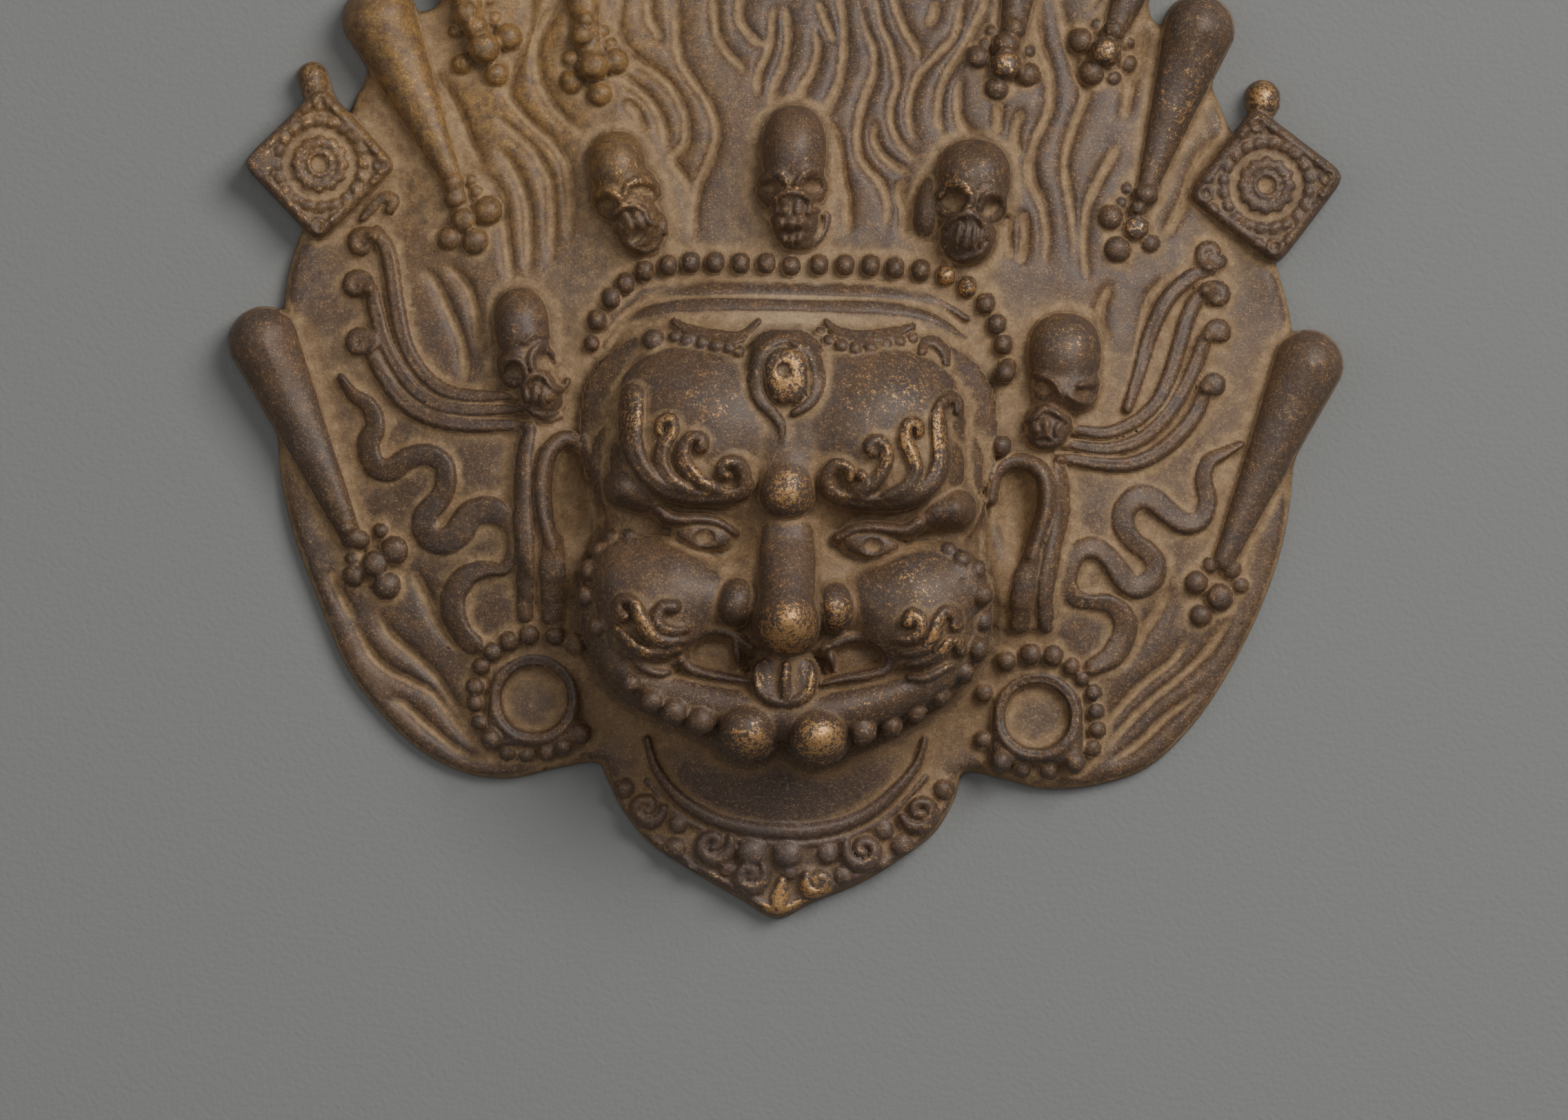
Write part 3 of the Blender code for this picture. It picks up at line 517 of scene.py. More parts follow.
# %% Draw the grooves of the hair
# Path of each groove: across, up
HAIR = paths("""
    4.5 121 7 115 9.2 110.5;
    8.5 126 10.2 117 10.7 111 10.2 105.5 9.2 101 6.5 95.5 5.5 93;
    6.5 95 9 91 10.2 87 10.6 83 12 77 12 69;
    13.3 122 15 115 17 110 17.2 105 15.5 100 14.3 95 14 90 14.6 86.5 17 83.5 19.4 80.5 20.8 76 20 70;
    17 124 18.5 115.5 20.5 111 21.7 106 22.2 102 21 98 21.1 94 22.8 90 25.5 87.2 28 86;
    20 124 23 115.5 25.2 112 26.7 109 26.2 105.5;
    25.5 83 22 85 19 87.5 17.3 91 18 95;
    24.3 83 23 79 24.3 75 24.5 69;
    30.5 121 29.7 117 27.8 115.2;
    36 124 34.7 114 31.5 109.7 27.5 105.7 25.4 101 24.7 96 25.8 91.5 28 89;
    42 124 38.5 115.5 36 110.5 33.3 106 31.5 101.5 31 97 31.6 93 33 90.5;
    35.8 105 35.2 100 35.8 95 38.5 91.5 42 91;
    44.2 99 43.8 92;
    49.2 98 47.7 93 48.3 89 49.5 87;
    50.5 126 52.3 113 54.2 107.5 55.3 102 54.7 97 52 91 50.9 86.5 51.7 82 53.8 77 54.8 71 54.5 62;
    55.8 124 58.5 113 61 106.5 62.6 101.5 60.5 95 59 90 58.4 85 59.8 78 60.8 70 61 61;
    70.5 91 67 85 64.5 80 63 75 62.8 68 63.8 60;
    76 118 73.2 108 72 102 70.7 95;
    46.7 77 46.3 71 47.5 65;
    49.8 76 50.2 70 49 64;
    83 63 78 58 76.5 50 76 42 74 35;
    69 61 66.5 54 68 47;
    95 93 88 88 84 78 80 70;
    -17.8 124 -17 114 -15 109.3 -11.8 106 -9 103.4;
    -11.3 122 -12 116.5 -9.7 112.6 -6.6 110.6 -5.7 113;
    -5 96.5 -4.4 101 -2.4 106 -1.4 112 -2.5 120;
    0.8 97 2 101.5 4.2 105.5 5 110 4 115;
    -7.5 98 -7.6 104 -5.4 110 -4.4 120;
    -25.8 124 -25.5 113 -24.5 107 -21.5 102 -18 97 -16.3 91.5 -17.4 86 -20 80 -21 74 -21 67;
    -31.7 122 -31.3 116 -29.2 112.3 -27.2 110.8;
    -37 124 -38.2 113 -35 107.5 -30 104 -26.6 101.2 -24 97 -22.8 93 -23.2 88.5 -25.8 85.3 -22.5 80 -23
    72;
    -38 103.5 -34.5 101 -31 98.2 -28.6 94.5 -27.2 90 -28 87;
    -36.5 98 -33.5 95 -32.5 91;
    -50 124 -51.5 118 -55 111 -55.2 105 -53.8 99.8 -51 95.5 -47.5 92.2 -44 89;
    -57.5 124 -57 115 -58.3 109.5 -60.8 103.5 -61 98.5 -58 94.3 -54.5 91 -50.7 87.5 -48.3 83 -47.4 76
    -47.5 66;
    -64 95 -60.5 91 -56.5 87.7 -53.8 84 -51.8 79.5 -51.2 73 -51.3 62;
    -64 88 -60 83 -57.2 77 -56.2 71 -56 60;
    -66 82 -62.5 76 -61 68 -59.5 58;
    -80 61 -76 58 -73 52 -70 45 -69 36;
    -74 62 -69 57 -67 50 -66 42;
    -78 104 -73 97 -69 88 -66 82;
    -88 -12 -84 -18 -79 -22 -74 -27 -70 -33 -64 -40;
    -93 -14 -89 -21 -85 -25 -80 -27.5 -75 -30 -70 -36 -64 -43;
    -86 -32 -81 -33 -75 -38 -68 -43.5 -60 -46;
    -80 -3 -77 -9 -74 -15 -69 -21;
    -98 -4 -95 -10 -92 -15;
    88 -14 84 -20 79 -24 74 -29 69 -36;
    97 -10 92 -17 86 -23 80 -28 75 -33 70 -40;
    97 -20 90 -27 83 -32 77 -38 70 -43;
    83 -4 80 -10 76 -16 73 -22
""")
# Where each plain groove above the photograph's edge starts, across
CROWN_STARTS = (
    -66, -58, -50, -37, -31, -25, -18, -11, -3, 4, 9, 13, 17, 21, 30, 36, 42, 51, 57, 63, 70,
)
LOCK_DEPTH = 3.3
LOCK_ROUND = 3.3
# A club is carried at this height at its foot, and so much lower at its tip
CLUB_CARRIED, CLUB_SINKS = 11.5, 5


def crown_grooves():
    """Above the photograph's edge: plain grooves that sway and fan out to the flame tips."""
    grooves = []
    for number, x in enumerate(CROWN_STARTS):
        ys = np.linspace(119, 158 - 0.1 * abs(x), 6)
        xs = x * (1 + 0.0035 * (ys - 120)) + 2.3 * np.sin((ys - 120) / 5.2 + number)
        grooves.append(np.stack([xs, ys], 1))
    return grooves


def lay_hair(relief):
    """Each lock is round: depth * sqrt(1 - (1 - distance to the nearest groove / round)^2)."""
    nearest = np.full(relief.x.shape, 9.0)
    for points in [*HAIR, *crown_grooves()]:
        where, distance, share, _ = relief.along(curve(points), 8)
        ends = 2.6 * np.exp(-share / 0.06) + 2.6 * np.exp((share - 1) / 0.06)
        nearest[where] = np.minimum(nearest[where], distance + ends)
    over = 1 - np.clip(nearest / LOCK_ROUND, 0, 1)
    sunk = box_mean(1 - np.sqrt(1 - over**2), max(1, round(0.3 / relief.step)), 2)
    relief.height -= LOCK_DEPTH * sunk * smoothstep(relief.inside / 6)


def lay_clubs(relief):
    """Half circle across: carried height + (0.9 half + 1.5) * sqrt(1 - (d/half)^2)."""
    for foot, tip, foot_half, tip_half in CLUBS:
        distance, share = segment_distance(relief.x, relief.y, foot, tip)
        half = club_half(share, foot_half, tip_half)
        carried = np.minimum(relief.height, CLUB_CARRIED - CLUB_SINKS * share)
        up = (0.9 * half + 1.5) * np.sqrt(np.clip(1 - (distance / half) ** 2, 0, 1))
        relief.join(..., distance - half, carried + up, 1.5)


lay_hair(relief)
lay_clubs(relief)
relief.settle(1.0)
print("grooves", len(HAIR))

# %% [markdown]
# ## Streamers, ribbons, plaques and jewels
# Ribbons of the headdress stream out beside the skulls and curl at their ends. A flat ribbon falls in
# folds on each side, with one edge higher than the other, so it seems to turn. Plaques carry a
# rosette in a raised border, and every club grows from a cluster of round jewels.

# %% Streamers and ribbons
# Path of each streamer, and its curl: middle, radius, start in degrees
STREAMERS = pairs("""
    -55 28 -65 27.6 -72 28 -78 29.6 -83 33 -86.5 37.5 -89 42 | -92 44.6 2.4 0;
    -57 31.2 -68 30.8 -75 31.8 -80 35 -84 40 -87 46 -88.7 52 -89.7 56 | -92.9 57 2.3 0;
    -58 34 -70 33.9 -76 36.3 -80 40.5 -82.7 46 -84.3 53 -85.4 60 -86.6 65 -89 68.4 | -91.9 66.2 2.3 40;
    58 23.5 66 22.2 73 22 79 24.3 84 28.5 87.5 33 89.6 38 | 91.6 39.2 1.5 180;
    58 26.5 68 25.2 75 27 80 31 84 36.5 87 42.5 89.3 49 | 92.4 50.7 1.7 190;
    60 29.5 68 28.6 74 30.8 79 35 82 41 84 48 86 55 89 60 | 91.7 58.7 2 150;
    73 34 75.5 42 77.5 50 81 57.5 86 62.3 90 64 | 90.2 67.6 2.4 -40
""")
# Path of each ribbon, and its half widths at even shares of its length
RIBBONS = pairs("""
    -96 37 -93.5 33.6 -89.8 31 -88.6 27 -90 23 -88.5 18.5 -85 17.4 -81.5 19.5 -77.5 20.8 -73.7 19 -73.2
    15 -74.5 11.5 -77.3 8 -77 4 -73.5 2.3 -70 4 -67 8 -62.8 9 -59 6.5 -57.8 2 -59.8 -2.6 -64 -3 -68 -4.6
    -70.8 -8.5 -70.9 -13 -69.3 -17 -66.5 -19.6 | 0.8 1.7 2.2 2.3 2.1 2 2.3 2.6 2.9 2.6 1.7 1.3 2.3 2.4 2;
    97.5 27 93.5 24.8 90.6 23 89.5 19 90.4 14.5 89 10.8 86 10 82.5 12 79 14.8 75.5 15.2 72.8 12.6 72.4 9
    74.4 5.6 77.5 3.4 79.4 0.6 78.4 -2.6 75.2 -4 72.6 -1.6 70.2 1.6 67 4 63.4 3.6 61 0.6 60.4 -3.6 62.4
    -7 66 -7.9 70 -8.2 72.8 -11 73 -15 70.5 -19 66.5 -21.5 | 0.7 1.5 1.8 2.1 2.3 2.4 2.2 1.9 2.2 2.3 2
    2.2 2.1 1.4 2.2 2.6 1.6
""")


def lay_streamers(relief):
    """Rounded strands with a groove down the middle, each ending in a comma-shaped curl."""
    for points, _ in STREAMERS:
        relief.strand(points, (1.3, 1.8, 2.0, 1.9), 2.6, blend=0.6)
        relief.groove(points, 0.45, 0.5)
    relief.settle(0.5)
    for _, (x, y, radius, start) in STREAMERS:
        curl = spiral(x, y, radius, start, -np.sign(x), 1.15)
        relief.strand(curl, (1.9, 1.6, 1.3), 2.3, blend=0.5, smooth=False)
    tail = [(-92, 71.5), (-88, 76), (-85.4, 75.4), (-86.3, 73.6)]
    relief.strand(tail, (0.9, 1.8, 1.2), 1.8, blend=0.6)


def lay_ribbons(relief):
    """A flat band, 1.9 * (1 - (d/half)^6), tilted by its side of the path."""
    for points, halves in RIBBONS:
        where, distance, share, side = relief.along(curve(points), max(halves) + 1.5)
        half = 1.2 * np.interp(share, np.linspace(0, 1, len(halves)), halves)
        out = np.clip(distance / half, 0, 1)
        up = 1.9 * (1 - out**6) + 0.9 * side * out
        relief.join(where, distance - half, relief.ground[where] + up, 0.6)


lay_streamers(relief)
lay_ribbons(relief)
relief.settle(1.0)
print("streamers", len(STREAMERS), "ribbons", len(RIBBONS))

# %% Plaques and knobs
PLAQUE_TOP = 9.6
PLAQUE_EDGE = 3.6


def lay_plaque(relief, cx, cy, half, turn):
    """A slab with a border and sunk field, a scalloped boss, petals round it, rings in its corners."""
    where = relief.around(cx, cy, half * 1.5)
    x, y = relief.x[where], relief.y[where]
    inward = square_inside(x, y, (cx, cy), half, turn)
    edge = PLAQUE_EDGE * (1 - np.sqrt(1 - (1 - np.clip(inward / 1.9, 0, 1)) ** 2))
    out = np.hypot(x - cx, y - cy)
    field = 0.8 * smoothstep((inward - 1.9) / 0.8) + 0.5 * smoothstep((8.4 - out) / 0.8)
    relief.height[where] = np.where(inward > 0, PLAQUE_TOP - edge - field, relief.height[where])
    relief.settle()
    for angle in np.radians(turn + 11 + 18 * np.arange(20)):
        x, y = cx + 9.3 * math.cos(angle), cy + 9.3 * math.sin(angle)
        relief.dome(x, y, 1.15, 1.45, 0.9, turn=math.degrees(angle) + 25, blend=0.25)
    relief.ring(cx, cy, 4.6, 1.5, 1.3, 12, 0.3)
    relief.ring(cx, cy, 2.5, 0.8, 1.3)
    relief.settle()
    for corner in range(4):
        a = math.radians(turn + 45 + 90 * corner)
        for away, aside, radius in ((13.4, 0, 1.5), (11.9, 3.3, 0.7), (11.9, -3.3, 0.7)):
            x = cx + away * math.cos(a) - aside * math.sin(a)
            y = cy + away * math.sin(a) + aside * math.cos(a)
            # One corner is rubbed flat
            if x < cx - 12.5 < -100:
                relief.dome(cx - 13.5, cy, 3.4, 3.4, 0.7, blend=0.4, square=3, crown=4)
            else:
                relief.ring(x, y, radius, 0.55, 0.8)


for plaque in PLAQUES:
    lay_plaque(relief, *plaque)
for foot, tip, radius in KNOBS:
    relief.strand([foot, tip], radius, 1.5 * radius, base=2.2, blend=0.8)
relief.settle(1.5)
print("plaques and knobs laid")

# %% Jewel clusters: x, y, radius of every ball
CLUSTERS = paths("""
    -70 71.5 2.6 -65 73.5 3 -67.5 67 2.8 -73 67.5 2.5 -72 76 2 -72.5 79.5 2 -67.5 77.5 1.5 -68.7 80 1.3;
    -66.5 108.5 3 -61.5 111 2.8 -63.8 103 2.6 -71 105 2.3 -68.5 113 2.3 -70.5 116 2.4 -64.5 115 1.8
    -72.8 112.2 1.7 -66 119 1.8;
    -43 105 2.8 -38.5 106 2.7 -41.5 99 2.6 -47.5 101.5 2.5 -48 106.5 1.8 -45.5 111.5 2.2 -41.5 112.5 1.7
    -39.5 109.8 1.5 -44.8 115 1.6;
    45.5 107 2.8 39.5 108.5 2.4 43.5 102 2.5 50 105 2.5 45.5 111.5 2.4 47 115 2.1 42.5 114 1.6 41 111.5
    1.4 50 110 1.5;
    67 110.5 2.9 61.5 112.7 2.6 64 106 2.8 71.5 108 2.2 68.5 105 1.7 68.5 115 2 65 116 1.7 71.5 112.5
    1.6;
    74 72.7 2.6 68.5 74.8 2.6 70 68 2.7 77 69.5 2 76 80 2.2 74.5 77 1.5 72 81 1.5 70.8 78 1.4;
    -87.5 -2.5 2.9 -83.5 0.5 3 -85 -7 3 -92 -5 2.4 -92.3 -1.5 1.9 -91 2.5 2 -86.5 4.5 1.7 -94 5 1.5;
    93.5 -6 2.8 88.5 -3 2.5 89.5 -10 2.3 96 0 2.2 91.5 0.8 1.9 98 -3.4 1.8
""", 3)
for balls in CLUSTERS:
    for number, (x, y, radius) in enumerate(balls):
        relief.pearl(x, y, radius, 0.5 if number == 0 else 0.3 if radius > 2.2 else 0.1, blend=0.7)
    x, y, radius = balls[0]
    relief.settle()
    relief.ring(x, y, 0.68 * radius, 0.35, 0.25)
relief.settle()
print("jewels", sum(map(len, CLUSTERS)))

# %% [markdown]
# ## Ears, collar and hood
# The ears have long lobes, as such figures do, that hang to the ring earrings. Below the chin a
# smooth neck ends at a round cord and a border of scrolls that comes to a point. The head stands out
# of the plate like a rounded block, wrapped in a hood with bands and a row of beads.

# %% Ears and collar
# Each ear: middle and half sizes of its boss, of its bowl, then ridges: half width, height, path
EARS = (
    ((-49.5, 12, 8.5, 18), (-45.8, 13.6, 3.9, 9.4), paths("""
        2.1 2.6 -49.5 2 -51.4 9 -51.9 17 -50.3 22.6 -46.5 25 -42.6 22 -41.5 17.6;
        2.2 1.5 -55.2 27 -56.2 20 -56.2 10 -55.6 2 -55.3 -6 -55.2 -13;
        3.0 1.7 -49.6 3 -49.4 -4 -49.4 -13
    """)),
    ((51, 8, 8.5, 18), (49.6, 11.6, 4.0, 8.8), paths("""
        2.1 2.6 43.8 14 44.8 19 47.4 21.6 50.8 22.1 54.6 20.1 56.1 16.3 55.9 12.2 54.2 7.2 52.7 2;
        2.0 1.5 58.6 22 59.4 12.3 57.6 3.9 56.1 -4.5 56.3 -13;
        2.7 1.7 52.9 2 51.3 -5 50.6 -13
    """)),
)


def lay_ears(relief):
    """A low rounded boss, hollowed, with strands for the rim, the lobe and the strap outside."""
    for boss, bowl, ridges in EARS:
        relief.dome(*boss, 3.6, blend=3, square=3, crown=1.8)
        relief.swell(*bowl, -5.4, square=3)
        relief.settle()
        for (half, high), *path in ridges:
            relief.strand(path, (0.8 * half, half, half, 0.85 * half), 1.3 * high, blend=0.9, crown=2.4)
        relief.settle()


CORD = numbers("""
    -28.6 -39 -26.5 -45.4 -21.9 -51.2 -15.1 -55.5 -7.9 -57.6 -0.7 -58.3 7.3 -58 14.4 -56.3 20.6 -53 25.4
    -48.5 29.3 -43.4 31 -38
""", 2)
# Scrolls: middle, radius, start in degrees, hand
SCROLLS = numbers("""
    30.3 -53.4 3.9 200 1 18.4 -61.9 4 160 1 -14 -61.4 4 20 -1 8.8 -69 3 150 1 -6 -67.8 3.4 30 -1 -28.4
    -53.8 3.6 0 -1
""", 5)
# Buds between them: middle, radius
BUDS = numbers("""
    -5.5 -62.4 2.9 2 -62.6 2.8 10.6 -62.6 2 26.4 -60.4 2.2 -22 -62 2 14 -67 1.9 -32 -58 1.5 -18.5 -66.2
    1.7 22.4 -64.6 1.5 -33 -49.5 1.9 35 -48.5 2 -10.8 -66 1.6 -21.5 -57 1.8 22.6 -57.4 2 2.6 -66.6 1.6
""", 3)


def lay_collar(relief):
    """Neck, cord, scrolls, buds, a keel down to the point and a thin border along the edge."""
    relief.swell(0, -42, 27, 15, 4.0, square=3)
    relief.settle(1.0)
    relief.strand(CORD, (0.9, 1.6, 1.8, 1.8, 1.6, 0.9), 2.4, blend=1.0, crown=1.6)
    relief.strand([(1.07 * x, y - 2.6) for x, y in CORD[1:-1]], 0.8, 1.0, blend=0.6)
    relief.swell(0, -63, 26, 5, 1.2, square=3)
    relief.settle(0.6)
    for x, y, radius, start, hand in SCROLLS:
        scroll = spiral(x, y, radius, start, hand, 1.25, 0.15)
        relief.strand(scroll, (1.1, 1.8, 1.7, 1.4, 1.3), 3.0, blend=0.5, smooth=False)
    for x, y, radius in BUDS:
        relief.pearl(x, y, 1.2 * radius, -0.15, blend=0.6)
    relief.strand([(1, -69), (0.6, -72), (0.2, -75)], (1.2, 2.2, 1.6), 1.8, blend=0.8)
    border = numbers("-36 -50 -30 -59 -20 -65.2 -9 -71 0 -75.3 10 -71 21 -66 31 -59.5 37 -51", 2)
    relief.strand(border, 1.1, 1.2)


lay_ears(relief)
lay_collar(relief)
print("scrolls", len(SCROLLS), "buds", len(BUDS))

# %% Hood, bands and the row of beads
BEADS = numbers("""
    -42 45.5 -41 50.5 -38 55.3 -35 58.5 -31 61.3 -26 62.5 -21.2 63.2 -16 63.3 -10.5 63.2 -5 63.3 0.3
    62.9 6.2 63.3 11.8 63.3 17.3 63.3 22.5 62.9 28 62.5 33.5 61.7 38 59.2 42 55.7 44.5 51.3 46 47 47 42
""", 2)


def lay_block(relief, middle, half, square, base, top, crown, blend):
    """A rounded block: base + (top - base) * (1 - |u/a|^square - |v/b|^square)^(1/crown)."""
    where = relief.around(*middle, 1.3 * max(half))
    u, v = relief.x[where] - middle[0], relief.y[where] - middle[1]
    out = np.abs(u / half[0]) ** square + np.abs(v / half[1]) ** square
    past = (out ** (1 / square) - 1) * min(half)
    relief.join(where, past, base + (top - base) * np.clip(1 - out, 0, 1) ** (1 / crown), blend)


def lay_hood(relief):
    """The block of the hood, two bands over the brow, and beads at the hood's foot."""
    lay_block(relief, (0.8, 13), (42.4, 48.6), 3.6, 12, 30.5, 2.2, 2.0)
    relief.settle()
    band = numbers("-39 -9 -35.5 -4.6 -29 -1.3 -14 0 8 0 22 -0.3 31 -2.2 38 -6", 2)
    for up, half, high in ((58.4, 1.9, 1.2), (54.4, 1.4, 0.9)):
        path = [(x, up + y) for x, y in band]
        relief.strand(path, (0.5 * half, half, half, half, 0.4 * half), high, blend=1.0)
    for number, (x, y) in enumerate(BEADS):
        base = min(relief.level(x * 0.97, y - 1), 26)
        tall = 2.15 if number else 1.7
        relief.dome(x, y, tall, 1.12 * tall, tall + 1.6, base=base, blend=0.7, square=2.3)


lay_hood(relief)
print("beads on the hood", len(BEADS))

# %% [markdown]
# ## The face
# It is the face of a wrathful guardian: swollen brows that end in flames, a third eye set upright,
# a bulb of flesh at the root of the nose, round cheeks with curling whiskers, and an open mouth with
# fangs and a tongue. It is built as a sculptor would block it out: first a rounded block, then the
# large domes and hollows, and only then the lids, lips and curls.

# %% Block out the face
MOUTH_FLOOR = 31.6
# The height that the nose and the bulb at its root start from
NOSE_FOOT = 35.5


def lay_face(relief):
    """Block, forehead with two merged mounds and a ledge, eye hollows, cheeks, jaw and chin."""
    lay_block(relief, (0.5, 9.6), (38.6, 42), 4, 20, 34.5, 2.5, 1.5)
    relief.dome(0.5, 28, 38, 19.5, 12, base=27.5, blend=5, square=2.9, crown=1.6)
    for x, y in ((-21, 27.5), (21.5, 27.5)):
        relief.swell(x, y, 14.5, 13.5, 4.6, square=3)
        relief.dome(x * 1.04, y - 7.5, 16, 9.5, 12.5, base=29.5, blend=3.5, square=2.6, crown=1.9)
    for side in SIDES:
        relief.swell(side * 17.5, 4.6, 12, 4.8, -5.0, square=3)
        relief.swell(side * 12, -2, 4.5, 6, -1.0)
    relief.swell(0.5, -21, 23, 6, -3, square=3)
    for x, y, rx in ((-26.5, -10.6, 13.6), (27.6, -10.6, 13.8)):
        relief.dome(x, y, rx, 13.4, 12, base=30.5, blend=5, square=2.4, crown=1.3)
    for path in ([(-32, -4.5), (-25, -4.8), (-17.5, -8)], [(35, -5), (29, -4.8), (21, -8)]):
        relief.strand(path, (6, 7, 6), (2.5, 4.5, 3.5), base=36, blend=4, crown=1.3)
    jaw = numbers("-37 -17 -33 -23.5 -25 -27.8 -14 -30.8 0 -32.6 14 -31.2 25 -27.6 33 -23.5 39 -17", 2)
    halves, highs = (4, 4.8, 5.4, 5.8, 6, 5.8, 5.2, 4.6, 4), (6, 7.5, 9, 10, 10.5, 10, 9, 7.5, 6)
    relief.strand(jaw, halves, highs, base=27.5, blend=2.0)
    for x, y in ((-7.2, -36.2), (7.9, -36.8)):
        relief.dome(x, y, 6.4, 5.9, 10.5, base=31.5, blend=1.6, crown=2)
    for ledge in paths("-21 9.8 -25 11 -29.5 12.8 -34 15; 23.5 9.4 28 9.8 32 10.8 36 11.8"):
        relief.strand(ledge, (1.6, 3.2, 4.7, 5.0), (5, 8.5, 12.5, 13.5), base=27, blend=3, crown=1.8)


MOUTH = paths("""
    -20.2 -19.7 -18.6 -17.2 -15.6 -16.2 -11.6 -16.6 -7 -19.4 -6.4 -22 -7.2 -25 -11.6 -24.6 -16.6 -23.6
    -19.4 -22;
    8.8 -19.8 13.4 -17.4 18.2 -16.8 21 -18 22.3 -20.2 21.4 -22.2 18 -23.4 13.4 -24.3 8.8 -25.3 7.6 -22.6
""")
LIPS = paths("""
    -6.4 -18.8 -11.8 -15.6 -15.8 -15.2 -19.3 -16.5 -21 -19.7 -20.4 -22.8 -17.2 -24.4 -11.6 -25.4 -6.8
    -26;
    8.6 -19 13.2 -16.6 18.2 -16 21.8 -17.3 23.3 -20.1 22.3 -22.8 18.4 -24.2 13.5 -25.1 9 -26.2
""")
FANGS = (((-9.7, -17.8), (-9.4, -20.6), (-9.1, -23.6)), ((9.6, -18.4), (10.4, -20.8), (11.2, -23.4)))
TONGUE = ((-5.4, -21.5), (-6.2, -25), (-4.6, -29), (0.6, -30.8), (5.4, -29), (7, -25), (6.4, -21.5))


def lay_mouth(relief):
    """Two openings pressed to a flat floor, lips and fangs as strands, a cupped tongue."""
    for outline in MOUTH:
        relief.sunk(outline, MOUTH_FLOOR, 1.8)
    relief.settle()
    for x, y in ((-14, -20.6), (16, -20.6)):
        relief.dome(x, y, 4.8, 2.6, 0.9, blend=0.6, crown=1.3)
    for path in LIPS:
        relief.strand(path, (0.9, 1.5, 1.6, 1.5, 1.2, 0.8), 2.2, base=33.8, blend=1.6, crown=1.4)
    for path in FANGS:
        relief.strand(path, (1.8, 1.3, 0.4), (4.4, 3.6, 1.6), blend=0.5, crown=1.6)
    relief.dome(0.7, -25.8, 6.9, 6.2, 5.5, base=34.5, blend=1.2, square=2.6, crown=2.6)
    relief.settle()
    relief.swell(0.7, -24.4, 4.8, 5.2, -2.0, square=3)
    relief.strand(TONGUE, (0.6, 1.0, 1.1, 1.1, 1.1, 1.0, 0.6), 1.0, blend=0.5)
    relief.strand([(0.9, -22), (0.8, -25), (0.9, -29)], (0.6, 0.9, 0.7), 0.9, blend=0.5)


def lay_nose(relief):
    """The bulb at its root, the nose that rises to a ball at the tip, and the wings."""
    relief.swell(0.8, -5, 12.5, 12, 5.0)
    relief.settle()
    fold = [(0.5, 33), (0.5, 26), (0.5, 19)]
    relief.strand(fold, (3.5, 4.5, 5.4), (0.2, 1.0, 3.2), base=39.5, blend=3, crown=1.3)
    relief.dome(0.3, 15.1, 6.5, 6.9, 10, base=NOSE_FOOT, blend=1.6, square=2.1)
    nose = [(0.6, 5), (0.7, 0), (0.8, -6), (0.9, -12)]
    halves, highs = (5.8, 6.6, 7.0, 7.3), (4.5, 9.5, 14.0, 17.2)
    relief.strand(nose, halves, highs, base=NOSE_FOOT, blend=2.6, crown=1.8)
    relief.dome(0.9, -12.6, 7.5, 7.9, 18.4, base=NOSE_FOOT, blend=3.0, square=2.1)
    for x, y, turn in ((-9.9, -9.2, -14), (11.0, -9.8, 12)):
        relief.dome(x, y, 5.0, 6.0, 10, base=34, turn=turn, blend=2.4, crown=1.6)
    relief.settle()


lay_face(relief)
lay_mouth(relief)
lay_nose(relief)
print("face stands mm", relief.height.max().round(1))

# %% Eyes, flaming brows and the third eye
# Each side's brow: the path of every strand, and its half widths at even shares of its length
BROWS = (pairs("""
    -8 16 -10 13.8 -15 12.8 -21 13 -26.5 15 -30.8 19.5 -33 25 -33.2 30.5 -33 34.5 | 1.8 2 2 2.1 2.2 2.3
    2.6 2.8 2.6;
    -20.5 14 -24.4 16.6 -26.4 20 -26 24 -24.4 27 -24.8 29.4 -26.8 28.8 -27.2 26.9 | 2 2 1.9 1.8 1.9 1.7
    1.4 1.2;
    -14 14 -18 16.2 -21 19.4 -22 22.8 -20.4 25.6 -18 25.4 -18 23.6 | 1.9 1.9 1.9 1.8 1.7 1.5 1.4;
    -9 14.4 -8.6 17.6 -10 20.2 -12.6 20.4 -13.8 18.6 -12.4 17.6 | 1.9 1.8 1.7 1.6 1.4 1.2
"""), pairs("""
    8.6 16.5 10.6 14 15 12.6 21.5 12.2 27.4 13.8 31.4 17.4 33 22 32.6 27.6 32.4 32.4 34.4 35.2 36.4 34.6
    36.6 32.6 | 1.8 2 2 2.1 2.2 2.2 2.1 1.9 1.9 1.7 1.4 1.1;
    22 13.4 26.2 16.2 27.8 19.8 26.8 23 25.4 26.4 26 29.4 28 29.4 28.2 27.6 | 2 2 1.8 1.6 1.7 1.6 1.4
    1.1;
    15 13.8 18.6 16.4 21 20 21.4 23.4 19.6 25.8 17.6 24.8 18.4 23.2 | 1.8 1.7 1.6 1.5 1.6 1.5 1.3;
    9.4 14.6 8.8 18 10.8 20.4 13.4 19.6 13.6 17.6 | 1.9 1.9 1.7 1.4 1.2;
    14.6 15.2 17 16.8 16 18.6 | 1.3 1.3 1.1
"""))
# Upper lids, from the temple inward. Eyes: middle, turn
LIDS = (
    ((-27, 10.4), (-24.4, 8.6), (-21.4, 8.2), (-17.5, 8.4), (-13.8, 7.6), (-10.6, 5.6)),
    ((28.6, 8.6), (26, 7.0), (22.8, 7.0), (19, 7.4), (15, 6.8), (11.4, 4.8)),
)
EYES = ((-17.2, 5.4, -6), (18.6, 4.3, -4))


